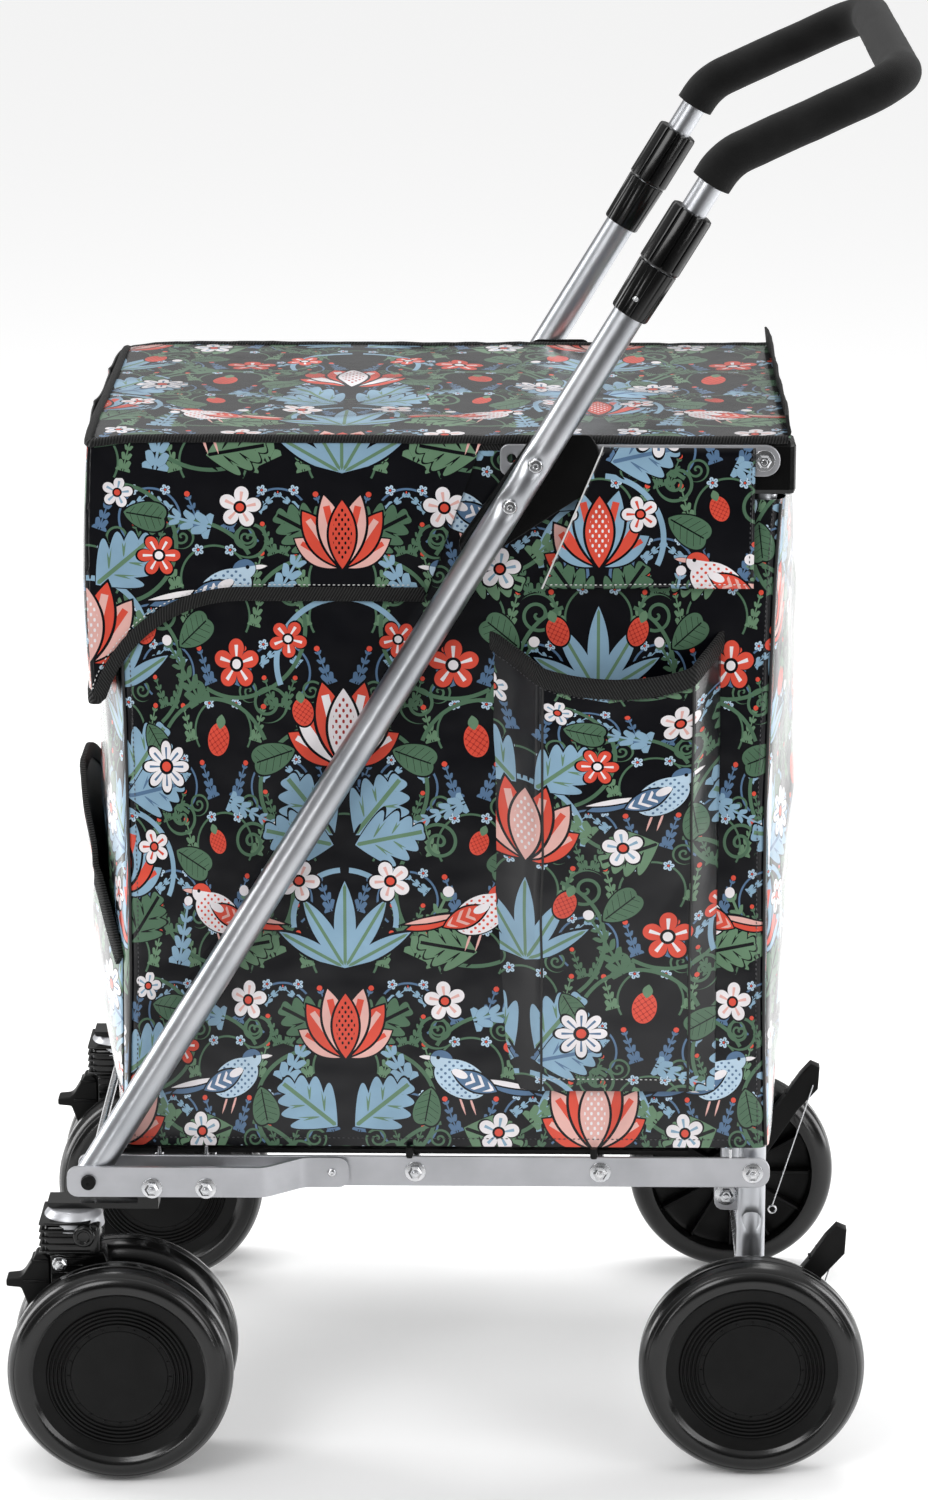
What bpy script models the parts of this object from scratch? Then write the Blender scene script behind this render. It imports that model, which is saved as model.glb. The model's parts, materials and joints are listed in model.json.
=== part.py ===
"""Four-wheeled folding shopping trolley with a covered bag.

Metres, +Z up.  +X points to the rear (handle) end, +Y to the trolley's right side.
The origin is on the ground, under the middle of the trolley's bounding box.
"""
import math

import bmesh
import bpy
from mathutils import Matrix, Vector

# ---------------------------------------------------------------- driving dimensions
WHEEL_R = 0.080
WHEEL_HALF_W = 0.017
AXLE_R = 0.004
BORE_GAP = 0.0001
FIT_GAP = 0.0003

REAR_X = 0.2135                      # rear axle and rear posts
BASE_LENGTH = 0.4687                 # front pivot to rear posts
FRONT_X = REAR_X - BASE_LENGTH       # pivot of the long handle tubes
BASE_Z = 0.215                       # height of both base pivots
TOP_Z = 0.729                        # height of the rear top pivot
LEAN = math.radians(31.3)            # handle tubes lean back from vertical

# Layers from the middle plane outwards, one side of the frame.
POST_Y = 0.159
POST_R = 0.010
POST_BORE_R = 0.0084
BAG_HALF_W = 0.1715
BAG_WALL = 0.0018
STRAP_Y = (0.1724, 0.1754)
RAIL_Y = (0.1750, 0.1780)
PLATE_Y = (0.1757, 0.1777)
TUBE_Y = 0.189
TUBE_R = 0.011
TUBE_BORE_R = 0.0094
OUTER_STRAP_Y = (0.2004, 0.2034)
REAR_WHEEL_Y = 0.2026

RAIL_HALF_H = 0.011
FRONT_WHEEL_X = REAR_X - 0.447
SWIVEL_X = REAR_X - 0.480
CASTER_Y = 0.193
TWIN_OFFSET = 0.0275                 # wheel centres either side of the swivel
FORK_HALF_W = 0.0095
FORK_TOP = 0.162
BRACKET_BAR = (0.1940, 0.1980)

# Stations along the handle tube, measured from the front pivot.
TUBE_START = -0.010
TUBE_END = 0.790
BRACKET_BOLTS = (0.6025, 0.5690)
CLAMP = (0.7228, 0.7600)
COLLAR = (0.7606, 0.8046)
LEG_START = 0.635
GRIP_START = 0.832
INNER_R = 0.0092
GRIP_R = 0.014
GRIP_X = REAR_X + 0.088              # centre line of the cross grip
GRIP_BEND_R = 0.045
GRIP_CORNER_R = 0.034
GRIP_SLOPE = math.radians(24.8)

BAG_FRONT = REAR_X - 0.458
BAG_REAR = REAR_X + 0.020
BAG_BOTTOM = 0.2315
BAG_TOP = 0.7425
BAG_CORNER_R = 0.014
LID_UNDER = 0.7440
LID_THICK = 0.0018
LID_HALF_W = 0.1734
LID_FRONT = BAG_FRONT - 0.0035
LID_SKIRT_END = REAR_X - 0.192
LID_HEM_FRONT_Z = 0.556
LID_HEM_SIDE_Z = 0.630

ROD_R = 0.003
HEAD_R = 0.0058
HEAD_H = 0.0042
ROD_SIDES = 12
SIDES = (("left", -1), ("right", 1))
ROUND = 24

COLOURS = {
    "steel_tube": ((0.62, 0.63, 0.65), 0.25, 1.0),
    "alloy_bar": ((0.60, 0.61, 0.62), 0.42, 1.0),
    "zinc": ((0.68, 0.69, 0.70), 0.32, 1.0),
    "black_plastic": ((0.02, 0.02, 0.021), 0.45, 0.0),
    "gloss_black": ((0.012, 0.012, 0.013), 0.25, 0.0),
    "wheel_rubber": ((0.022, 0.022, 0.023), 0.6, 0.0),
    "foam": ((0.015, 0.015, 0.016), 0.95, 0.0),
    "coated_fabric": ((0.03, 0.035, 0.045), 0.25, 0.0),
    "board": ((0.05, 0.05, 0.055), 0.7, 0.0),
}

# ---------------------------------------------------------------- scene and materials
for old in list(bpy.data.objects):
    bpy.data.objects.remove(old, do_unlink=True)


def new_collection(name):
    collection = bpy.data.collections.new(name)
    bpy.context.scene.collection.children.link(collection)
    return collection


PARTS = new_collection("shopping_trolley")
CUTTERS = new_collection("cutters")


def give_material(obj, kind):
    """Gives the object a Principled material of its own."""
    colour, rough, metal = COLOURS[kind]
    material = bpy.data.materials.new(f"{obj.name}_{kind}")
    material.use_nodes = True
    shader = material.node_tree.nodes["Principled BSDF"]
    shader.inputs["Base Color"].default_value = (*colour, 1.0)
    shader.inputs["Roughness"].default_value = rough
    shader.inputs["Metallic"].default_value = metal
    obj.data.materials.clear()
    obj.data.materials.append(material)


def finish_part(obj, kind, smooth=False):
    PARTS.objects.link(obj)
    give_material(obj, kind)
    if smooth:
        obj.data.shade_smooth()
        if obj.type == "MESH":
            obj.data.set_sharp_from_angle(angle=math.radians(35))
    return obj


def mesh_from(bm, name):
    mesh = bpy.data.meshes.new(name)
    bm.to_mesh(mesh)
    bm.free()
    return bpy.data.objects.new(name, mesh)


# ---------------------------------------------------------------- shape helpers
def box(name, low, high):
    """Axis-aligned box between two corners, with its origin at its middle."""
    low, high = Vector(low), Vector(high)
    bm = bmesh.new()
    bmesh.ops.create_cube(bm, size=1.0)
    bmesh.ops.scale(bm, vec=high - low, verts=bm.verts)
    obj = mesh_from(bm, name)
    obj.location = (low + high) / 2
    return obj


def arc_points(centre, radius, start, end, count):
    """Points on a circular arc in a plane, angles in degrees."""
    step = math.radians(end - start) / count
    first = math.radians(start)
    return [
        (centre[0] + radius * math.cos(first + step * k), centre[1] + radius * math.sin(first + step * k))
        for k in range(count + 1)
    ]


def outline_curve(name, loops, half_thickness):
    """Flat filled outline, extruded to both sides of its own plane."""
    curve = bpy.data.curves.new(name, "CURVE")
    curve.dimensions = "2D"
    curve.fill_mode = "BOTH"
    curve.extrude = half_thickness
    for loop in loops:
        spline = curve.splines.new("POLY")
        spline.points.add(len(loop) - 1)
        for point, (x, y) in zip(spline.points, loop):
            point.co = (x, y, 0.0, 1.0)
        spline.use_cyclic_u = True
    return bpy.data.objects.new(name, curve)


def side_plate(name, outline, holes, layer, side):
    """Plate standing along the trolley's side: outline in X and Z, holes as (x, z, radius)."""
    loops = [outline]
    for x, z, radius in holes:
        loops.append(arc_points((x, z), radius, 0, 360, 16)[:-1])
    obj = outline_curve(name, loops, (layer[1] - layer[0]) / 2)
    obj.rotation_euler = (math.pi / 2, 0, 0)
    obj.location.y = side * (layer[0] + layer[1]) / 2
    return obj


def curve_to_mesh(obj):
    """Replaces a curve object by the closed mesh of its evaluated shape."""
    bpy.context.scene.collection.objects.link(obj)
    bpy.context.view_layer.update()
    evaluated = obj.evaluated_get(bpy.context.evaluated_depsgraph_get())
    mesh = bpy.data.meshes.new_from_object(evaluated)
    bm = bmesh.new()
    bm.from_mesh(mesh)
    bmesh.ops.remove_doubles(bm, verts=bm.verts, dist=0.00002)
    bm.to_mesh(mesh)
    bm.free()
    made = bpy.data.objects.new(obj.name + "_mesh", mesh)
    made.matrix_world = obj.matrix_world.copy()
    name = obj.name
    bpy.data.objects.remove(obj, do_unlink=True)
    made.name = name
    return made


def turned(name, profile, steps, closed):
    """Turned shape about its own Z axis; the profile is (radius, height) from the top down."""
    mesh = bpy.data.meshes.new(name)
    bm = bmesh.new()
    verts = [bm.verts.new((r, 0.0, h)) for r, h in profile]
    for first, second in zip(verts, verts[1:]):
        bm.edges.new((first, second))
    if closed:
        bm.edges.new((verts[-1], verts[0]))
    bm.to_mesh(mesh)
    bm.free()
    obj = bpy.data.objects.new(name, mesh)
    screw = obj.modifiers.new("turn", "SCREW")
    screw.steps = steps
    screw.render_steps = steps
    screw.use_merge_vertices = True
    screw.merge_threshold = 0.00001
    screw.use_normal_calculate = False
    return obj


def aim(obj, origin, direction):
    """Puts the object's own Z axis along a direction, from an origin."""
    obj.rotation_mode = "QUATERNION"
    obj.rotation_quaternion = Vector((0, 0, 1)).rotation_difference(Vector(direction))
    obj.location = origin
    return obj


def outward(obj, origin, side):
    """Turns the object's own Z axis to the outside of its side of the trolley."""
    obj.rotation_euler = (-side * math.pi / 2, 0, 0)
    obj.location = origin
    return obj


def tube_along(name, points, radius, resolution):
    """Round bar along a chain of points."""
    curve = bpy.data.curves.new(name, "CURVE")
    curve.dimensions = "3D"
    curve.bevel_depth = radius
    curve.bevel_resolution = resolution
    curve.use_fill_caps = True
    spline = curve.splines.new("POLY")
    spline.points.add(len(points) - 1)
    for target, place in zip(spline.points, points):
        target.co = (*place, 1.0)
    return bpy.data.objects.new(name, curve)


def add_cutter(obj):
    CUTTERS.objects.link(obj)
    obj.hide_render = True
    obj.display_type = "WIRE"
    return obj


def cylinder_cutter(name, origin, direction, radius, length, sides=16):
    """Round cutter centred on its origin."""
    bm = bmesh.new()
    bmesh.ops.create_cone(
        bm, cap_ends=True, segments=sides, radius1=radius, radius2=radius, depth=length
    )
    return add_cutter(aim(mesh_from(bm, name), origin, direction))


def cut(obj, *cutters):
    for cutter in cutters:
        modifier = obj.modifiers.new(cutter.name, "BOOLEAN")
        modifier.operation = "DIFFERENCE"
        modifier.object = cutter
    return obj


def on_tube(station, side):
    """Place on the handle tube's axis at a distance from the front pivot."""
    return Vector((
        FRONT_X + station * math.sin(LEAN),
        side * TUBE_Y,
        BASE_Z + station * math.cos(LEAN),
    ))


TUBE_DIR = Vector((math.sin(LEAN), 0, math.cos(LEAN)))
ACROSS = (0, 1, 0)
FULL_WIDTH = 0.46

# ---------------------------------------------------------------- cross bores
ROD_BORE_R = ROD_R + BORE_GAP
BOLT_BORE_R = 0.0021
STRAP_BOLT_Z = BASE_Z - 0.0043
STRAP_BOLTS_X = (REAR_X - 0.424, REAR_X - 0.386)
TIE_RODS_X = (REAR_X - 0.239, REAR_X - 0.108)


def cross_bore(name, x, z, radius):
    return cylinder_cutter(name, (x, 0, z), ACROSS, radius, FULL_WIDTH)


pivot_bore = cross_bore("pivot_bore", FRONT_X, BASE_Z, ROD_BORE_R)
strap_bores = [
    cross_bore(f"strap_bore_{k}", x, STRAP_BOLT_Z, ROD_BORE_R) for k, x in enumerate(STRAP_BOLTS_X)
]
rear_bore = cross_bore("rear_bore", REAR_X, BASE_Z, ROD_BORE_R)
top_bore = cross_bore("top_bore", REAR_X, TOP_Z, ROD_BORE_R)
axle_bore = cross_bore("axle_bore", REAR_X, WHEEL_R, AXLE_R + BORE_GAP)
bracket_bores = [
    cross_bore(f"bracket_bore_{k}", on_tube(s, 0).x, on_tube(s, 0).z, BOLT_BORE_R)
    for k, s in enumerate(BRACKET_BOLTS)
]


# ---------------------------------------------------------------- rods and bolts
def headed_rod(name, x, z, half_length, radius, collar=None):
    """Rod across the trolley with a head on each end, and an optional inner collar."""
    head_top = half_length + HEAD_H
    side_profile = [(0.0, head_top), (HEAD_R * 0.86, head_top), (HEAD_R, head_top - 0.0008)]
    side_profile += [(HEAD_R, half_length + FIT_GAP), (radius, half_length + FIT_GAP)]
    if collar:
        low, high, wide = collar
        side_profile += [(radius, high), (wide, high), (wide, low), (radius, low)]
    lower_half = [(r, -h) for r, h in reversed(side_profile)]
    obj = turned(name, side_profile + lower_half, ROD_SIDES, closed=False)
    aim(obj, (x, 0, z), ACROSS)
    return finish_part(obj, "zinc", smooth=True)


headed_rod("front_pivot_rod", FRONT_X, BASE_Z, OUTER_STRAP_Y[1], ROD_R)
for number, rod_x in enumerate(STRAP_BOLTS_X, 1):
    headed_rod(f"front_tie_rod_{number}", rod_x, STRAP_BOLT_Z, OUTER_STRAP_Y[1], ROD_R)
inner_collar = (RAIL_Y[0] - 0.0045, RAIL_Y[0] - FIT_GAP, 0.006)
for number, rod_x in enumerate(TIE_RODS_X, 1):
    headed_rod(f"base_tie_rod_{number}", rod_x, BASE_Z, RAIL_Y[1], ROD_R, inner_collar)
headed_rod("rear_pivot_rod", REAR_X, BASE_Z, RAIL_Y[1], ROD_R, inner_collar)
headed_rod("top_pivot_rod", REAR_X, TOP_Z, STRAP_Y[1], ROD_R)


def tube_bolt(name, station, side):
    """Bolt through the handle tube that holds its guide plate."""
    head_base = TUBE_Y + TUBE_R + FIT_GAP
    flush_end = PLATE_Y[0] + 0.0002
    profile = [(0.0, head_base + 0.0035), (0.0044, head_base + 0.0035), (0.0052, head_base + 0.0027)]
    profile += [(0.0052, head_base), (0.002, head_base), (0.002, flush_end), (0.0, flush_end)]
    obj = turned(name, profile, 12, closed=False)
    place = on_tube(station, 0)
    outward(obj, (place.x, 0, place.z), side)
    return finish_part(obj, "zinc", smooth=True)


# ---------------------------------------------------------------- base frame
def rounded_bar(x_low, x_high, z, half_height, front_r, rear_r):
    """Outline of a flat bar with rounded ends."""
    points = []
    for cx, cz, radius, start in (
        (x_high - rear_r, z - half_height + rear_r, rear_r, -90),
        (x_high - rear_r, z + half_height - rear_r, rear_r, 0),
        (x_low + front_r, z + half_height - front_r, front_r, 90),
        (x_low + front_r, z - half_height + front_r, front_r, 180),
    ):
        points += arc_points((cx, cz), radius, start, start + 90, 4)
    return points


RAIL_END_R = 0.0105
RAIL_FRONT = REAR_X - 0.478
STRAP_BEND = (REAR_X - 0.356, REAR_X - 0.320)
STRAP_REAR = REAR_X - 0.286
OUTER_STRAP_FRONT = REAR_X - 0.484


def outer_strap_outline(side):
    """Plan of the joggled strap: its front half stands out to clear the handle tube."""
    inner_y = RAIL_Y[1] + FIT_GAP + 0.0002
    thick = OUTER_STRAP_Y[1] - OUTER_STRAP_Y[0]
    near = [
        (OUTER_STRAP_FRONT, OUTER_STRAP_Y[0]),
        (STRAP_BEND[0], OUTER_STRAP_Y[0]),
        (STRAP_BEND[1], inner_y),
        (STRAP_REAR, inner_y),
    ]
    far = [(x + 0.0006 * k, y + thick) for k, (x, y) in zip((0, 1, 1, 0), near)]
    loop = near + far[::-1]
    return [(x, side * y) for x, y in loop]


for label, side in SIDES:
    rail_holes = [(FRONT_X, BASE_Z, ROD_BORE_R), (REAR_X, BASE_Z, ROD_BORE_R)]
    rail_holes += [(x, STRAP_BOLT_Z, ROD_BORE_R) for x in STRAP_BOLTS_X]
    rail_holes += [(x, BASE_Z, ROD_BORE_R) for x in TIE_RODS_X]
    rail_outline = rounded_bar(RAIL_FRONT, REAR_X + 0.012, BASE_Z, RAIL_HALF_H, RAIL_END_R, RAIL_END_R)
    rail = side_plate(f"base_rail_{label}", rail_outline, rail_holes, RAIL_Y, side)
    finish_part(curve_to_mesh(rail), "alloy_bar")

    strap = outline_curve(f"outer_strap_{label}", [outer_strap_outline(side)], RAIL_HALF_H)
    strap.location.z = BASE_Z
    strap = curve_to_mesh(strap)
    cut(strap, pivot_bore, *strap_bores)
    finish_part(strap, "alloy_bar")

PLATFORM = (BAG_FRONT + 0.012, REAR_X - 0.046, 0.1735)
PLATFORM_Z = (0.2267, 0.2297)
GRID = (7, 6)
GRID_WEB = 0.010


def grid_holes():
    """Rectangular windows of the platform, in even rows and columns."""
    x_low, x_high, half_w = PLATFORM
    pitch_x = (x_high - x_low - GRID_WEB) / GRID[0]
    pitch_y = (2 * half_w - GRID_WEB) / GRID[1]
    holes = []
    for column in range(GRID[0]):
        for row in range(GRID[1]):
            x = x_low + GRID_WEB + column * pitch_x
            y = -half_w + GRID_WEB + row * pitch_y
            wide, deep = pitch_x - GRID_WEB, pitch_y - GRID_WEB
            holes.append([(x, y), (x + wide, y), (x + wide, y + deep), (x, y + deep)])
    return holes


platform_edge = [
    (PLATFORM[0], -PLATFORM[2]),
    (PLATFORM[1], -PLATFORM[2]),
    (PLATFORM[1], PLATFORM[2]),
    (PLATFORM[0], PLATFORM[2]),
]
platform = outline_curve(
    "base_platform", [platform_edge] + grid_holes(), (PLATFORM_Z[1] - PLATFORM_Z[0]) / 2
)
platform.location.z = sum(PLATFORM_Z) / 2
finish_part(curve_to_mesh(platform), "black_plastic")


# ---------------------------------------------------------------- casters
def bracket_outline():
    """Side view of the caster bracket: a foot bar with a block between rail and strap."""
    bar_low, bar_high = BRACKET_BAR
    bar_front, bar_rear = REAR_X - 0.4985, REAR_X - 0.420
    block_front, block_rear = REAR_X - 0.4345, REAR_X - 0.374
    block_top = BASE_Z - 0.0010
    block_low = BASE_Z - RAIL_HALF_H + 0.0006
    nose = arc_points((bar_front + 0.003, bar_low + 0.003), 0.003, 180, 270, 4)
    return [(bar_front, bar_high)] + nose + [
        (bar_rear, bar_low), (bar_rear, block_low), (block_rear, block_low),
        (block_rear, block_top), (block_front, block_top), (block_front, bar_high),
    ]


HUB_FACE = 0.013                     # outer hub face from the wheel's middle plane
AXLE_INSET = 0.0005


def wheel(name, x, y, side):
    """Moulded wheel: full outer face, hollow inner face with a hub boss."""
    bore = AXLE_R + BORE_GAP
    profile = [
        (bore, HUB_FACE), (0.036, HUB_FACE), (0.040, 0.0163), (0.068, WHEEL_HALF_W),
        (0.0765, 0.013), (WHEEL_R, 0.006), (WHEEL_R, -0.006), (0.0765, -0.013),
        (0.069, -WHEEL_HALF_W), (0.063, -WHEEL_HALF_W), (0.060, -0.004), (0.021, -0.004),
        (0.019, -0.016), (bore, -0.016),
    ]
    obj = turned(name, profile, ROUND, closed=True)
    outward(obj, (x, y, WHEEL_R), side)
    return finish_part(obj, "wheel_rubber", smooth=True)


def fork_outline():
    """Side view of the caster fork, with a round lower end about the axle."""
    top_front, top_rear = SWIVEL_X - 0.017, SWIVEL_X + 0.021
    lower = arc_points((FRONT_WHEEL_X, WHEEL_R), 0.016, 20, -160, 8)
    return [(top_front, 0.128), (top_front, FORK_TOP), (top_rear, FORK_TOP)] + lower


STEM_R = 0.006
STEM_GAP = 0.00015
HEAD_SHOULDER_R = 0.019
HEAD_LOWER_R = 0.021
HEAD_LIFT = 0.0006                   # gap between the head and the fork
HEAD_R_WIDE = 0.0235
STEM_BOTTOM = 0.1288
STEM_SINK = 0.0008                   # bore below the stem's end
STEM_BORE_LENGTH = 0.1
LEVER_X = SWIVEL_X - 0.0175
LEVER_PIVOT_Z = 0.158
for label, side in SIDES:
    bracket_layer = (RAIL_Y[1] + FIT_GAP, OUTER_STRAP_Y[0] - FIT_GAP)
    bracket_holes = [(x, STRAP_BOLT_Z, ROD_BORE_R) for x in STRAP_BOLTS_X]
    bracket = side_plate(f"caster_bracket_{label}", bracket_outline(), bracket_holes, bracket_layer, side)
    finish_part(curve_to_mesh(bracket), "zinc")

    head_top = BRACKET_BAR[0] - FIT_GAP
    head_profile = [
        (0.0, head_top), (HEAD_SHOULDER_R, head_top), (HEAD_R_WIDE, head_top - 0.005),
        (HEAD_R_WIDE, FORK_TOP + 0.0065), (HEAD_LOWER_R, FORK_TOP + HEAD_LIFT),
        (STEM_R, FORK_TOP + HEAD_LIFT), (STEM_R, STEM_BOTTOM), (0.0, STEM_BOTTOM),
    ]
    head = turned(f"caster_head_{label}", head_profile, 20, closed=False)
    head.location = (SWIVEL_X, side * CASTER_Y, 0)
    finish_part(head, "gloss_black", smooth=True)

    stem_bore = cylinder_cutter(
        f"stem_bore_{label}", (SWIVEL_X, side * CASTER_Y, STEM_BOTTOM - STEM_SINK + STEM_BORE_LENGTH / 2),
        (0, 0, 1), STEM_R + STEM_GAP, STEM_BORE_LENGTH, 20,
    )
    fork_layer = (CASTER_Y - FORK_HALF_W, CASTER_Y + FORK_HALF_W)
    fork_holes = [(FRONT_WHEEL_X, WHEEL_R, AXLE_R + BORE_GAP)]
    fork = side_plate(f"caster_fork_{label}", fork_outline(), fork_holes, fork_layer, side)
    fork = curve_to_mesh(fork)
    cut(fork, stem_bore)
    finish_part(fork, "gloss_black")

    axle_half = TWIN_OFFSET + HUB_FACE - AXLE_INSET
    axle_profile = [(0.0, axle_half), (AXLE_R, axle_half), (AXLE_R, -axle_half), (0.0, -axle_half)]
    axle = turned(f"front_axle_{label}", axle_profile, 16, closed=False)
    outward(axle, (FRONT_WHEEL_X, side * CASTER_Y, WHEEL_R), side)
    finish_part(axle, "zinc", smooth=True)

    outer_y = side * (CASTER_Y + TWIN_OFFSET)
    inner_y = side * (CASTER_Y - TWIN_OFFSET)
    wheel(f"front_wheel_{label}_outer", FRONT_WHEEL_X, outer_y, side)
    wheel(f"front_wheel_{label}_inner", FRONT_WHEEL_X, inner_y, -side)

    lever_x, lever_z = LEVER_X, 0.150
    lever_outline = [
        (lever_x - 0.0002, lever_z - 0.030), (lever_x - 0.0002, LEVER_PIVOT_Z - 0.002),
        (lever_x - 0.010, lever_z + 0.010), (lever_x - 0.020, lever_z + 0.006),
        (lever_x - 0.022, lever_z - 0.006), (lever_x - 0.0315, lever_z - 0.010),
        (lever_x - 0.0315, lever_z - 0.015), (lever_x - 0.022, lever_z - 0.018),
        (lever_x - 0.018, lever_z - 0.030),
    ]
    lever_layer = (CASTER_Y - 0.0075, CASTER_Y + 0.0075)
    lever = side_plate(f"swivel_lock_lever_{label}", lever_outline, [], lever_layer, side)
    finish_part(curve_to_mesh(lever), "black_plastic")

# ---------------------------------------------------------------- rear legs
AXLE_HALF = REAR_WHEEL_Y + HUB_FACE - AXLE_INSET
rear_axle_profile = [(0.0, AXLE_HALF), (AXLE_R, AXLE_HALF), (AXLE_R, -AXLE_HALF), (0.0, -AXLE_HALF)]
rear_axle = turned("rear_axle", rear_axle_profile, 16, closed=False)
aim(rear_axle, (REAR_X, 0, WHEEL_R), ACROSS)
finish_part(rear_axle, "zinc", smooth=True)

POST_BOTTOM = 0.064
POST_TOP = 0.7385
CAP_LOW = 0.704
CAP_TOP = 0.7420
CAP_X = (REAR_X - 0.0140, REAR_X + 0.0220)
CAP_Y = (0.1440, 0.1718)
CAP_BORE_Z = 0.690                   # middle and length of the blind bore for the post
CAP_BORE_LENGTH = 0.0980
CAP_GAP = 0.0004
PEDAL_Y = (0.1715, 0.1825)


def pedal_outline():
    """Side view of the brake pedal: hub on the axle, arm, and a wide tread."""
    hub = arc_points((REAR_X, WHEEL_R), 0.011, 120, 320, 9)
    return hub + [
        (REAR_X + 0.050, WHEEL_R + 0.058), (REAR_X + 0.066, WHEEL_R + 0.076),
        (REAR_X + 0.067, WHEEL_R + 0.094), (REAR_X + 0.060, WHEEL_R + 0.097),
        (REAR_X + 0.052, WHEEL_R + 0.088), (REAR_X + 0.040, WHEEL_R + 0.070),
    ]


for label, side in SIDES:
    post_half = (POST_TOP - POST_BOTTOM) / 2
    post_profile = [
        (POST_BORE_R, post_half), (POST_R, post_half), (POST_R, -post_half), (POST_BORE_R, -post_half),
    ]
    post = turned(f"rear_post_{label}", post_profile, ROUND, closed=True)
    post.location = (REAR_X, side * POST_Y, POST_BOTTOM + post_half)
    cut(post, axle_bore, rear_bore, top_bore)
    finish_part(post, "steel_tube", smooth=True)

    post_bore = cylinder_cutter(
        f"post_bore_{label}", (REAR_X, side * POST_Y, CAP_BORE_Z), (0, 0, 1), POST_R + CAP_GAP,
        CAP_BORE_LENGTH, ROUND,
    )
    cap_low = (CAP_X[0], min(side * CAP_Y[0], side * CAP_Y[1]), CAP_LOW)
    cap_high = (CAP_X[1], max(side * CAP_Y[0], side * CAP_Y[1]), CAP_TOP)
    cap = box(f"top_corner_cap_{label}", cap_low, cap_high)
    soften = cap.modifiers.new("soften", "BEVEL")
    soften.width = 0.004
    soften.segments = 2
    cut(cap, post_bore, top_bore)
    finish_part(cap, "black_plastic")

    strap_front, strap_rear = REAR_X - 0.180, REAR_X + 0.011
    bar = rounded_bar(strap_front, strap_rear, TOP_Z, RAIL_HALF_H, 0.006, 0.0105)
    holes = [(REAR_X, TOP_Z, ROD_BORE_R), (REAR_X - 0.172, TOP_Z + 0.001, 0.0032)]
    top_strap = side_plate(f"top_strap_{label}", bar, holes, STRAP_Y, side)
    finish_part(curve_to_mesh(top_strap), "alloy_bar")

    wheel(f"rear_wheel_{label}", REAR_X, side * REAR_WHEEL_Y, side)
    pedal_holes = [(REAR_X, WHEEL_R, AXLE_R + BORE_GAP)]
    pedal = side_plate(f"brake_pedal_{label}", pedal_outline(), pedal_holes, PEDAL_Y, side)
    finish_part(curve_to_mesh(pedal), "black_plastic")

# ---------------------------------------------------------------- handle tubes and grip
for label, side in SIDES:
    tube_profile = [
        (TUBE_BORE_R, TUBE_END), (TUBE_R, TUBE_END), (TUBE_R, TUBE_START), (TUBE_BORE_R, TUBE_START),
    ]
    tube = turned(f"handle_tube_{label}", tube_profile, ROUND, closed=True)
    aim(tube, on_tube(0.0, side), TUBE_DIR)
    cut(tube, pivot_bore, *bracket_bores)
    finish_part(tube, "steel_tube", smooth=True)

    sleeve_r = TUBE_R + FIT_GAP
    clamp_length = CLAMP[1] - CLAMP[0]
    clamp_profile = [
        (sleeve_r, clamp_length), (0.0145, clamp_length), (0.0145, 0.010), (0.0135, 0.0),
        (sleeve_r, 0.0),
    ]
    clamp = turned(f"lower_clamp_{label}", clamp_profile, ROUND, closed=True)
    aim(clamp, on_tube(CLAMP[0], side), TUBE_DIR)
    finish_part(clamp, "gloss_black", smooth=True)

    collar_length = COLLAR[1] - COLLAR[0]
    neck = TUBE_END - COLLAR[0] + 0.001
    collar_profile = [
        (INNER_R + FIT_GAP, collar_length), (0.0142, collar_length), (0.0151, collar_length - 0.002),
        (0.0151, 0.002), (0.0142, 0.0), (sleeve_r, 0.0), (sleeve_r, neck), (INNER_R + FIT_GAP, neck),
    ]
    collar = turned(f"twist_collar_{label}", collar_profile, ROUND, closed=True)
    aim(collar, on_tube(COLLAR[0], side), TUBE_DIR)
    finish_part(collar, "gloss_black", smooth=True)

    guide_low, guide_high = on_tube(0.520, 0), on_tube(0.628, 0)
    guide_outline = [
        (guide_low.x - 0.010, guide_low.z), (guide_low.x + 0.012, guide_low.z - 0.004),
        (guide_high.x + 0.030, guide_high.z - 0.035), (guide_high.x + 0.030, guide_high.z - 0.002),
        (guide_high.x - 0.006, guide_high.z - 0.002),
    ]
    bolt_places = [on_tube(s, 0) for s in BRACKET_BOLTS]
    guide_holes = [(place.x, place.z, BOLT_BORE_R) for place in bolt_places]
    guide = side_plate(f"strap_guide_{label}", guide_outline, guide_holes, PLATE_Y, side)
    finish_part(curve_to_mesh(guide), "black_plastic")
    for number, station in enumerate(BRACKET_BOLTS, 1):
        tube_bolt(f"guide_bolt_{label}_{number}", station, side)


def leg_path(first_station):
    """Left half of the handle's centre line, from a station on the leg to the cross grip."""
    points = [on_tube(first_station, -1), on_tube(GRIP_START - 0.004, -1)]
    start = on_tube(GRIP_START, -1)
    rise = math.pi / 2 - LEAN
    turns = 6
    for k in range(turns + 1):
        angle = rise + (GRIP_SLOPE - rise) * k / turns
        points.append(start + Vector((
            GRIP_BEND_R * (math.sin(rise) - math.sin(angle)), 0,
            GRIP_BEND_R * (math.cos(angle) - math.cos(rise)),
        )))
    along = Vector((math.cos(GRIP_SLOPE), 0, math.sin(GRIP_SLOPE)))
    reach = (GRIP_X - points[-1].x) / along.x - GRIP_CORNER_R
    corner = points[-1] + along * reach
    points.append(corner)
    for k in range(1, 7):
        angle = math.pi / 2 * k / 6
        points.append(
            corner + along * GRIP_CORNER_R * math.sin(angle)
            + Vector((0, 1, 0)) * GRIP_CORNER_R * (1 - math.cos(angle))
        )
    return points


def mirrored_path(points):
    """Adds the same points on the right side, in reverse order."""
    return points + [Vector((p.x, -p.y, p.z)) for p in reversed(points)]


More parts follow.
